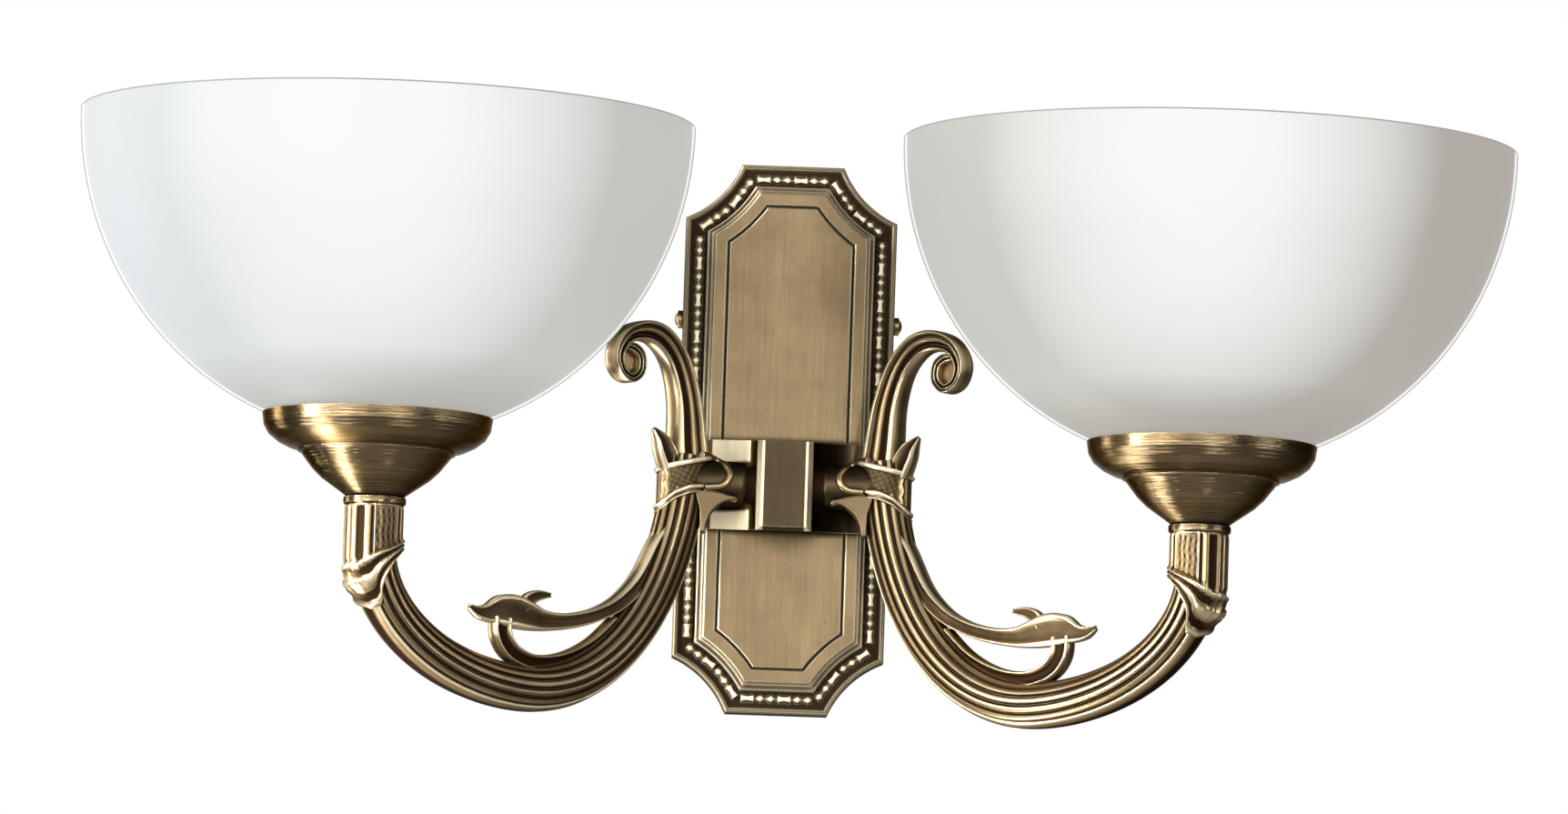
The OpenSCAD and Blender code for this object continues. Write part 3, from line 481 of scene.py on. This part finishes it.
def deselect():
    if bpy.context.object and bpy.context.object.mode != "OBJECT":
        bpy.ops.object.mode_set(mode="OBJECT")
    bpy.ops.object.select_all(action="DESELECT")


def curved(points, steps):
    """A smooth way through the stations, whatever numbers each station holds."""
    way = []
    for i in range(len(points) - 1):
        a, b, c, d = (points[max(0, min(len(points) - 1, i + k))] for k in (-1, 0, 1, 2))
        for s in range(steps):
            t = s / steps
            way.append([
                0.5 * (
                    2 * q + (r - p) * t + (2 * p - 5 * q + 4 * r - e) * t * t
                    + (3 * q - p - 3 * r + e) * t ** 3
                )
                for p, q, r, e in zip(a, b, c, d)
            ])
    return way + [list(points[-1])]


def bezier(corners, t):
    weights = ((1 - t) ** 3, 3 * (1 - t) ** 2 * t, 3 * (1 - t) * t * t, t ** 3)
    return [sum(w * c[k] for w, c in zip(weights, corners)) for k in (0, 1)]


def rings_along(stations, outline, steps):
    """Outlines set square to the way: thickness in the arm's plane, width across it."""
    way = curved(stations, steps) if steps else stations
    rings = []
    for i, (along, up, thick, wide) in enumerate(way):
        back, ahead = way[max(i - 1, 0)], way[min(i + 1, len(way) - 1)]
        run = Vector((ahead[0] - back[0], ahead[1] - back[1])).normalized()
        rings.append([
            Vector((along - p * thick * run.y, up + p * thick * run.x, q * wide)) * MM for p, q in outline
        ])
    return rings


def micron(spot):
    """A place in whole thousandths of a millimetre, by which a corner is found again."""
    return tuple(round(c * 1e6) for c in spot)


def drawn(name, rings, hollows):
    """A closed strand: the first outline is filled, extruded, and set at each ring in turn.

    `hollows` says for each corner how the brass is treated there: 1 in a dark groove, 0 where it is
    plain, and below 0 on a crest that is rubbed bright. On the arm's spine, the web under the boss and
    the boss's neck it sets painted shade. It is one list for all rings, or one for each.
    """
    deselect()
    bpy.ops.mesh.primitive_circle_add(vertices=len(rings[0]), radius=0.01, fill_type="NGON")
    strand = bpy.context.object
    strand.name = name
    bpy.ops.object.mode_set(mode="EDIT")
    for corner, spot in zip(bmesh.from_edit_mesh(strand.data).verts, rings[0]):
        corner.co = spot
    for before, ring in zip(rings, rings[1:]):
        bpy.ops.mesh.extrude_region()
        order = {micron(spot): i for i, spot in enumerate(before)}
        for corner in bmesh.from_edit_mesh(strand.data).verts:
            if corner.select:
                corner.co = ring[order[micron(corner.co)]]
    bpy.ops.mesh.select_all(action="SELECT")
    bpy.ops.mesh.normals_make_consistent(inside=False)
    bpy.ops.object.mode_set(mode="OBJECT")
    bpy.ops.object.shade_smooth_by_angle(angle=math.radians(50))
    if not isinstance(hollows[0], list):
        hollows = [hollows] * len(rings)
    depth_at = {micron(spot): h for ring, row in zip(rings, hollows) for spot, h in zip(ring, row)}
    cut = strand.data.attributes.new("hollow", "FLOAT", "POINT")
    for corner, value in zip(strand.data.vertices, cut.data):
        value.value = depth_at[micron(corner.co)]
    return strand


# %% The reeded bar
REEDS = 12
SPINE = 40
REED_DEPTH = 1.15
REED_CORNERS = (0, 0.1, 0.24, 0.5, 0.76, 0.9)
# The spine's middle is set dark as painted shade on the arm's underside; its edges are rubbed bright.
SPINE_CORNERS = ((-0.92, -0.8), (-0.6, 0.1), (-0.2, 0.75), (0.2, 0.75), (0.6, 0.1), (0.92, -0.8))


def reeded_outline():
    """Reeds round the inside and sides, and a plain spine outside, as (angle, radius, hollow); on the spine
    that value is painted shade.
    """
    wide = 2 * (180 - SPINE) / REEDS
    corners = []
    for reed in range(REEDS):
        for share in REED_CORNERS:
            swell = math.sqrt(max(0, 1 - (2 * share - 1) ** 2))
            depth = 1 - 1.24 * swell ** 5
            radius = BAR_R - REED_DEPTH * (1 - swell)
            corners.append((SPINE - 180 + (reed + share) * wide, radius, depth))
    corners.append((180 - SPINE, BAR_R - REED_DEPTH, 1.0))
    for share, depth in SPINE_CORNERS:
        corners.append((180 + share * SPINE, BAR_R, depth))
    return corners


ROOT_HALF = [(0, BLOCK_Z), (5.4, BLOCK_Z - 41), (MID - 34, ARM_LOW), (MID, ARM_LOW)]
STEM_HALF = [(MID, ARM_LOW), (MID + 28, ARM_LOW), (REACH - 3.6, KNEE - 21.5), (REACH, KNEE + 1)]
HALF_STEPS = 36
ROOT_WAY = [bezier(ROOT_HALF, i / HALF_STEPS) for i in range(HALF_STEPS)]
STEM_WAY = [bezier(STEM_HALF, i / HALF_STEPS) for i in range(HALF_STEPS + 1)]
# The bar runs on a little above its root, into the strap and the foot of the scroll.
INTO_SCROLL = 8.0
upward = Vector(ROOT_WAY[0]) - Vector(ROOT_WAY[1])
BAR_WAY = [list(Vector(ROOT_WAY[0]) + INTO_SCROLL * upward.normalized())] + ROOT_WAY + STEM_WAY


def arm_bar():
    corners = reeded_outline()
    outline = [(r * math.cos(math.radians(a)), r * math.sin(math.radians(a))) for a, r, hollow in corners]
    rings = rings_along([(a, b, 1, 1) for a, b in BAR_WAY], outline, 0)
    return drawn("bar", rings, [hollow for a, r, hollow in corners])


print("the bar has", REEDS, "reeds and", len(BAR_WAY), "stations")

# %% [markdown]
# The scroll rises from the strap as a channel: a broad smooth back, a bright edge, two sunk grooves
# with a reed between them, and a thin inner edge. It curls over and closes round a sunk oval eye.

# %% Scroll, leaf and lip
def lifted(stations):
    """Stations (along, up, thick, wide) whose heights are told from the middle of the plate."""
    return [(a, PLATE_Z + b, c, d) for a, b, c, d in stations]


CHANNEL = [
    (1.0, 0.0), (1.0, 0.45), (0.97, 0.8), (0.84, 1.0), (0.68, 0.98), (0.56, 0.68), (0.42, 0.6),
    (0.3, 0.82), (0.12, 0.88), (-0.04, 0.8), (-0.16, 0.5), (-0.38, 0.42), (-0.56, 0.6), (-0.72, 0.8),
    (-0.9, 0.72), (-1.0, 0.45),
]
SCROLL_OUTLINE = CHANNEL + [(-1.0, 0.0)] + [(p, -q) for p, q in reversed(CHANNEL[1:])]
SCROLL = lifted([
    (-0.8, -12, 5.8, 5.8), (0, -3, 5.4, 5.4), (1.6, 10, 4.5, 4.8), (5.5, 21, 4.1, 4.2),
    (11.5, 27.8, 4, 3.8), (18.5, 29.9, 3.4, 3.5), (26, 27.8, 2.6, 3.3), (30, 22, 2.1, 3.25),
    (28.8, 16.5, 1.7, 3.25), (24.5, 14.3, 1.5, 3.2), (21, 17, 1.4, 3.1), (20.9, 21.5, 1.4, 3.0),
    (23.5, 24, 1.5, 2.8), (26.6, 24.4, 1.2, 2.6),
])
EYE = (25.0, PLATE_Z + 19.6)
EYE_R, EYE_THICK, EYE_RIM = 4.6, 1.6, 1.2

SUNK = [
    (1.0, 0.0), (1.0, 0.5), (0.93, 0.85), (0.76, 1.0), (0.6, 0.88), (0.5, 0.62), (0.3, 0.5),
    (0.0, 0.46), (-0.3, 0.5), (-0.5, 0.62), (-0.6, 0.88), (-0.76, 1.0), (-0.93, 0.85), (-1.0, 0.5),
]
LEAF_OUTLINE = SUNK + [(-1.0, 0.0)] + [(p, -q) for p, q in reversed(SUNK[1:])]
LEAF = lifted([
    (4, -29, 2.4, 3.4), (10, -37, 2.5, 3.4), (17.5, -49.5, 2.5, 3.3), (26, -57.4, 2.3, 3.1),
    (34.3, -61.6, 2.2, 2.9), (42, -64, 2.4, 2.8), (50, -65.4, 2.7, 2.6), (57, -65.6, 3.4, 2.5),
    (62, -64.8, 4.5, 2.4), (68, -63.8, 5.3, 2.3), (74, -63.8, 4.8, 2.1), (79, -65, 3, 1.9),
    (83, -65, 1.9, 1.6), (86.5, -63.6, 0.8, 0.9),
])
LOBE = lifted([
    (65.5, -64.5, 0.8, 0.8), (63.6, -60.4, 2.1, 1.7), (59.4, -58, 1.8, 1.6), (53.6, -57.3, 0.7, 0.9),
])
LIP = lifted([
    (73.4, -66, 3.6, 2.3), (73.2, -71.6, 3.4, 2.4), (69.5, -76.4, 3, 2.6), (62, -79, 2.6, 2.8),
    (53, -78.6, 2.6, 2.8), (44, -76, 2.6, 2.8), (35, -71.2, 2.6, 2.8), (26.5, -64, 2.6, 2.8),
])
THORN = lifted([
    (6.0, -12, 3.6, 3), (8.8, -6.5, 3.2, 2.6), (10.6, -3.6, 2.2, 2.2), (13.2, -0.6, 0.6, 0.8),
])
SUNK_HALF, SUNK_BELOW = 0.72, 0.88


def cut_depths(outline, strength, rims=0.5):
    """The sunk field of an outline is dark by its depth, and the rims beside it are rubbed bright."""
    cut = []
    for p, q in outline:
        sunk = strength * max(0.0, min(1.0, (SUNK_BELOW - abs(q)) / 0.35))
        cut.append(sunk if abs(p) < SUNK_HALF else -rims if abs(q) > 0.4 else 0.0)
    return cut


def strands():
    leaf_cut = cut_depths(LEAF_OUTLINE, 0.55)
    return [
        drawn("scroll", rings_along(SCROLL, SCROLL_OUTLINE, 6), cut_depths(SCROLL_OUTLINE, 1.0, 0.25)),
        drawn("leaf", rings_along(LEAF, LEAF_OUTLINE, 5), leaf_cut),
        drawn("lobe", rings_along(LOBE, LEAF_OUTLINE, 5), leaf_cut),
        drawn("lip", rings_along(LIP, LEAF_OUTLINE, 5), cut_depths(LEAF_OUTLINE, 0.8, 0.2)),
        drawn("thorn", rings_along(THORN, LEAF_OUTLINE, 5), cut_depths(LEAF_OUTLINE, 0.6)),
    ]


def eye_web():
    """The thin web that closes the scroll's eye, a disc that is sunk inside its rim on both faces."""
    deselect()
    middle = Vector((*EYE, -0.4)) * MM
    bpy.ops.mesh.primitive_cylinder_add(
        vertices=40, radius=EYE_R * MM, depth=EYE_THICK * MM, location=middle
    )
    web = bpy.context.object
    web.name = "web"
    bpy.ops.object.mode_set(mode="EDIT")
    bpy.ops.mesh.select_all(action="DESELECT")
    bpy.ops.object.mode_set(mode="OBJECT")
    for face in web.data.polygons:
        face.select = abs(face.normal.z) > 0.9
    bpy.ops.object.mode_set(mode="EDIT")
    bpy.ops.mesh.inset(thickness=EYE_RIM * MM, depth=-0.5 * MM)
    bpy.ops.mesh.select_all(action="SELECT")
    bpy.ops.mesh.bevel(offset=0.2 * MM, segments=2)
    bpy.ops.object.mode_set(mode="OBJECT")
    bpy.ops.object.transform_apply(location=True, rotation=True, scale=True)
    return web


# %% [markdown]
# ## Sleeves
# The stem's fluted sleeve and its leaf, and the strap at the root, are relief on a round core. A
# sleeve is a tube whose rings follow the core, with the height of the carving added to the radius
# at each angle. Zero degrees faces the room and ninety degrees faces the centre of the lamp.

# %% Relief on a round core
def ease(value, low, high):
    t = max(0.0, min(1.0, (value - low) / (high - low)))
    return t * t * (3 - 2 * t)


def table(places, value):
    """Straight steps between (place, amount) pairs."""
    if value <= places[0][0]:
        return places[0][1]
    for (a, x), (b, y) in zip(places, places[1:]):
        if value <= b:
            return x + (y - x) * (value - a) / (b - a)
    return places[-1][1]


def ridge(distance, half_width, height):
    share = min(1.0, abs(distance) / half_width)
    return height * math.sqrt(1 - share * share)


def away(angle, centre):
    return (angle - centre + 180) % 360 - 180


def core_along(up):
    """Where the bar's middle runs at this height near the stem."""
    for (a, b), (c, d) in zip(STEM_WAY, STEM_WAY[1:]):
        if up < KNEE and b <= up <= d:
            return a + (c - a) * (up - b) / (d - b)
    return REACH


def from_room(core, up, radius, angle):
    """A point beside the core, at an angle that is measured from the room."""
    turn = math.radians(angle) - SPLAY
    return Vector((core - radius * math.sin(turn), up, radius * math.cos(turn)))


STEM_R = 9.0
INSIDE_BAR = BAR_R - 0.9
FLUTE_FLOOR = -0.55
FLUTES = (-172, -146, -118, -88, -62, -44, -12, 75, 100, 126, 152)
# How far below the stem's top the wrapped leaf starts and ends, by angle.
LEAF_TOP = [
    (-180, 13.5), (-120, 19.0), (-80, 19.6), (-30, 18.4), (-7, 16.6), (17, 14.8), (60, 12.0),
    (90, 10.5), (130, 10.5), (180, 13.5),
]
LEAF_END = [
    (-180, 22.0), (-120, 29.0), (-80, 31.0), (-40, 32.5), (-12, 31.0), (-3, 29.4), (4, 26.5),
    (17, 23.0), (41, 18.3), (70, 14.6), (90, 13.0), (130, 14.5), (180, 22.0),
]
KNOB_ANGLE, KNOB_DOWN = -66, 24.5


def fluted_part(angle, down, leaf_top):
    """Flutes, and between two rims beside the room side a field of flecks, as (height, hollow)."""
    height = max(FLUTE_FLOOR + ridge(away(angle, flute), 8.5, 0.85) for flute in FLUTES)
    in_field = ease(angle, 1, 6) * (1 - ease(angle, 52, 60))
    rim = max(ridge(away(angle, 2), 4, 0.8), ridge(away(angle, 57), 4, 0.6))
    between_rims = in_field > 0 and rim < 0.2
    flecks = 0.2 * math.sin(angle * 0.5 + 0.6 * math.sin(down * 0.9))
    flecks = flecks * (0.6 + 0.4 * math.sin(down * 2.3 + angle * 0.1))
    if between_rims:
        height = max(rim - 0.5, flecks - 0.75)
    elif in_field > 0:
        height = rim - 0.45
    deep = max(0.0, min(1.0, (0.12 - height) / 0.55))
    if between_rims:
        deep = deep * (1 - in_field) + (0.45 - 1.2 * flecks) * in_field
    fade = ease(down, 0, 0.6) * (1 - ease(down, leaf_top - 1.2, leaf_top - 0.2))
    leaf_edge = ridge(down - leaf_top, 1.0, 1.0)
    return height * fade + 0.5 * leaf_edge, deep * ease(down, 0, 1.2) - 0.6 * leaf_edge


def leafy_part(angle, down, share):
    """The leaf's spine and two edges stand up, with a lumpy knob where it turns over."""
    spine = ridge(share - 0.5, 0.16, 0.7)
    edge = ridge(share - 0.04, 0.1, 0.9) + ridge(share - 0.93, 0.09, 0.7)
    raised = max(spine, edge)
    knob = math.exp(-(away(angle, KNOB_ANGLE) / 34) ** 2 - ((down - KNOB_DOWN) / 4.6) ** 2)
    lumps = 0.5 * math.sin(angle * 0.28 + down * 0.9) * math.sin(down * 1.6 - angle * 0.1)
    deep = 0.75 * max(0.0, 1 - raised / 0.45) * (1 - 0.8 * knob) - 0.55 * ease(raised, 0.35, 0.8)
    return 0.15 + raised + knob * (1.7 + lumps), deep


def stem_relief(angle, down):
    leaf_top, leaf_end = table(LEAF_TOP, angle), table(LEAF_END, angle)
    if down < leaf_top:
        return fluted_part(angle, down, leaf_top)
    return leafy_part(angle, down, (down - leaf_top) / max(0.1, leaf_end - leaf_top))


def sleeve(name, slices, around, spot):
    """A tube wall whose ring i and corner j stand where `spot` says; it is closed over the core."""
    angles = [360 * j / around - 180 for j in range(around)]
    rows = [[spot(i / slices, angle) for angle in angles] for i in range(slices + 1)]
    rings = [[place * MM for place, hollow in row] for row in rows]
    return drawn(name, rings, [[hollow for place, hollow in row] for row in rows])


def stem_spot(share, angle):
    down = share * (table(LEAF_END, angle) + 0.4)
    height, deep = stem_relief(angle, down)
    radius = INSIDE_BAR if share > 0.985 else STEM_R + height
    return from_room(core_along(STEM_TOP - down), STEM_TOP - down, radius, angle), deep


# %% The strap round the root
STRAP_TOP = [(-180, 6.5), (-74, 4.4), (0, 6.6), (68, 8.9), (110, 9.2), (180, 6.5)]
STRAP_END = [
    (-180, -8.0), (-110, -11.0), (-60, -10.3), (-38, -8.8), (-16, -6.4), (14, -4.5), (68, -3.6),
    (110, -4.0), (180, -8.0),
]
STRAP_R = 8.3


def strap_spot(share, angle):
    """A raised band above, two below, and between them a knobbly field that ends at a zigzag."""
    top, end = table(STRAP_TOP, angle), table(STRAP_END, angle)
    rise = top + share * (end - top)
    from_top, from_end = top - rise, rise - end
    bands = ((from_top - 1.1, 1.15, 1.3), (from_end - 0.6, 0.7, 0.9), (from_end - 2.4, 0.9, 1.2))
    relief = max(ridge(*band) for band in bands)
    field = (
        ease(angle, -38, -32) * (1 - ease(angle, 84, 90))
        * ease(from_top, 2.0, 2.5) * ease(from_end, 3.1, 3.6)
    )
    knobbly = 0.25 * math.sin(angle * 0.34 + rise * 1.1) * math.sin(rise * 2.6 - angle * 0.12)
    zigzag = ridge(away(angle, -39 + 3.5 * math.sin(rise * 1.5)), 4.5, 0.8) + ridge(away(angle, -52), 4, 0.7)
    if 1.9 < from_top and from_end > 3.0:
        relief = max(relief, zigzag, 0.3)
    radius = STRAP_R + relief * (1 - field) + field * (-0.55 + knobbly)
    if share < 0.012 or share > 0.988:
        radius = INSIDE_BAR
    deep = max(0.0, min(1.0, (0.4 - relief) / 0.5)) * (1 - field) + (0.5 + 0.2 * knobbly) * field
    deep -= 0.8 * ease(relief, 0.7, 1.1) * (1 - field)
    return from_room(0.0, BLOCK_Z + rise, radius, angle), deep


# The boss's radius at places out from the block.
BOSS_STEPS = [
    (8.95, 5.6), (12.1, 5.6), (12.3, 6.2), (13.0, 6.8), (15, 7.0), (20, 7.1), (26, 7.0), (31, 6.0),
]
BOSS_R = 7.0


def boss():
    """The round boss that joins the strap to the block, lying along the wall."""
    way = curved(BOSS_STEPS, 3)
    around = [math.radians(a) for a in range(0, 360, 6)]
    rings = [
        [Vector((x, -ROOT_DEPTH - r * math.cos(a), BLOCK_Z + r * math.sin(a))) * MM for a in around]
        for x, r in way
    ]
    # The neck beside the block is set fully dark, patina in a recess and painted shade.
    return drawn("boss", rings, [[1 - ease(x, 11.8, 12.6)] * len(around) for x, r in way])


WEB_MIDDLE, WEB_WIDE, WEB_TALL = (15.2, -16.0), 9.6, 10.5
# The web's even darkness is painted shade of the corner under the boss.
WEB_FACES, WEB_PAINTED_SHADE = (-7.4, 3.5), 0.38


def elbow_web():
    """The thin web in the corner under the boss: a quarter of an oval is cut from a small flat plate."""
    arc = [math.radians(90 - 7.5 * i) for i in range(13)]
    edge = [(WEB_MIDDLE[0] + WEB_WIDE * math.cos(a), WEB_MIDDLE[1] + WEB_TALL * math.sin(a)) for a in arc]
    edge += [(26.4, WEB_MIDDLE[1]), (26.6, -9), (28.4, -3), (22, -3.4), (WEB_MIDDLE[0], -4.9)]
    rings = [
        [Vector((x, -ROOT_DEPTH + deep, BLOCK_Z + up)) * MM for x, up in edge] for deep in WEB_FACES
    ]
    web = drawn("elbow_web", rings, [WEB_PAINTED_SHADE] * len(edge))
    bpy.ops.object.mode_set(mode="EDIT")
    bpy.ops.mesh.select_all(action="DESELECT")
    bpy.ops.mesh.edges_select_sharp(sharpness=math.radians(40))
    bpy.ops.mesh.bevel(offset=0.35 * MM, segments=2)
    bpy.ops.object.mode_set(mode="OBJECT")
    bpy.ops.object.shade_smooth_by_angle(angle=math.radians(25))
    return web


def wire(name, places, thick):
    """A raised line over the boss and strap, through (out, up) places on their fronts."""
    deselect()
    bpy.ops.curve.primitive_bezier_curve_add()
    line = bpy.context.object
    line.name = name
    knots = line.data.splines[0].bezier_points
    knots.add(len(places) - 2)
    for knot, (out, up) in zip(knots, places):
        on_boss = math.sqrt(max(0, BOSS_R ** 2 - up ** 2))
        on_strap = math.sqrt(max(0, (STRAP_R + 0.3) ** 2 - (out - ROOT_X) ** 2))
        knot.co = Vector((out, -ROOT_DEPTH - max(on_boss, on_strap), BLOCK_Z + up)) * MM
        knot.handle_left_type = knot.handle_right_type = "AUTO"
    line.data.bevel_depth, line.data.bevel_resolution = thick * MM, 5
    line.data.use_fill_caps = True
    bpy.ops.object.convert(target="MESH")
    bpy.ops.object.shade_smooth_by_angle(angle=math.radians(60))
    return line


LOOP = [
    (26.5, 8.3), (24.2, 8.1), (21.3, 6.9), (18.6, 5.0), (17.4, 2.5), (18.0, 0.1), (19.8, -1.3),
    (22.4, -1.7), (25.0, -1.9),
]
LOWER_LINE = [(15.2, -5.6), (17.4, -4.9), (19.8, -4.2), (22.4, -3.6), (25.5, -3.3)]

# %% Make the right arm, and its mirror image for the left
bench_to_lamp = (
    Matrix.Translation(Vector((ROOT_X, -ROOT_DEPTH, 0)) * MM)
    @ Matrix.Rotation(-SPLAY, 4, "Z")
    @ Matrix.Rotation(math.radians(90), 4, "X")
)
mirrored = Matrix.Scale(-1, 4, (1, 0, 0))
bench_pieces = [arm_bar(), *strands(), eye_web()]
bench_pieces += [sleeve("stem", 48, 120, stem_spot), sleeve("strap", 28, 120, strap_spot)]
for piece in bench_pieces:
    piece.data.transform(bench_to_lamp)
wall_pieces = [boss(), elbow_web(), wire("loop", LOOP, 1.1), wire("lower_line", LOWER_LINE, 0.9)]

for piece in bench_pieces + wall_pieces:
    name = piece.name
    twin = piece.copy()
    twin.data = piece.data.copy()
    scene.collection.objects.link(twin)
    twin.data.transform(mirrored)
    twin.data.flip_normals()
    for side, one in (("right", piece), ("left", twin)):
        one.name = name + "_" + side
        wear([one], boss_painted_shade_brass if name == "boss" else cast_brass)
        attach(one, "lamp")
        if name == "bar":
            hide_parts("arm_" + side)
    print(name, len(piece.data.polygons), "faces")

# %% [markdown]
# ## Floor, background and light
# The lamp hangs free before a white background, as a cut-out picture shows it, over a pale floor. The
# room is dim, so that brass has something dark to reflect, and the background behind the lamp is white
# for the metal and glass too. Narrow upright lights draw the bright streaks on the turned cups.

# %% Floor and background
FLOOR_SIZE, FLOOR_Z = 12.0, -1.7
DIM_ROOM, WHITE = (0.05, 0.046, 0.042, 1), (1, 1, 1, 1)

bpy.ops.mesh.primitive_plane_add(size=FLOOR_SIZE, location=(0, 0, FLOOR_Z))
floor = bpy.context.object
floor.name = "floor"
floor.data.materials.append(moulding("floor_board", (0.82, 0.82, 0.81, 1), 0.8, 40.0).material)

world = bpy.data.worlds.new("room")
scene.world = world
world.use_nodes = True
sky = world.node_tree
sky.nodes.clear()
rays = sky.nodes.new("ShaderNodeLightPath")
seen, glossy, through = (
    Signal(sky, rays.outputs[name]) for name in ("Is Camera Ray", "Is Glossy Ray", "Is Transmission Ray")
)
way = sky.nodes.new("ShaderNodeSeparateXYZ")
sky.links.new(sky.nodes.new("ShaderNodeTexCoord").outputs["Generated"], way.inputs[0])
behind = Signal(sky, way.outputs["Y"]).between(0.8, 0.95)
white = seen.maths("MAXIMUM", glossy.maths("MAXIMUM", through) * behind)
room_tone = add_node(
    sky, "ShaderNodeMix", {"data_type": "RGBA"}, {0: white, 6: DIM_ROOM, 7: WHITE}, output=2
)
background = add_node(sky, "ShaderNodeBackground", {}, {0: room_tone, 1: 1.0})
sky.links.new(background.socket, sky.nodes.new("ShaderNodeOutputWorld").inputs[0])


# %% Soft lights
HEART = (0, -0.05, -0.05)
WARM = (1.0, 0.98, 0.95)


def soft_light(name, place, size, watts, colour=(1, 1, 1)):
    """A flat lamp of (width, height) in metres that faces the heart of the wall lamp."""
    data = bpy.data.lights.new(name, "AREA")
    data.shape, data.size, data.size_y = "RECTANGLE", size[0], size[1]
    data.energy, data.color = watts, colour
    light = bpy.data.objects.new(name, data)
    scene.collection.objects.link(light)
    light.location = place
    light.rotation_euler = (Vector(HEART) - Vector(place)).to_track_quat("-Z", "Y").to_euler()


soft_light("window", (-1.0, -0.45, 0.12), (0.18, 1.1), 30, (1.0, 0.98, 0.94))
soft_light("far_left", (-0.95, 0.38, 0.1), (0.08, 1.0), 5, WARM)
soft_light("left_strip", (-0.66, -0.92, 0.12), (0.08, 1.1), 11, WARM)
soft_light("front_strip", (0.28, -1.12, 0.0), (0.07, 1.2), 7)
soft_light("front_soft", (-0.3, -1.3, 0.15), (0.7, 0.5), 5, WARM)
soft_light("right_strip", (1.05, -0.52, 0.07), (0.06, 0.9), 3, (0.97, 0.98, 1.0))
soft_light("low_strip", (-0.55, 0.2, -0.9), (1.3, 0.14), 13, WARM)

scene.view_settings.view_transform = "Standard"
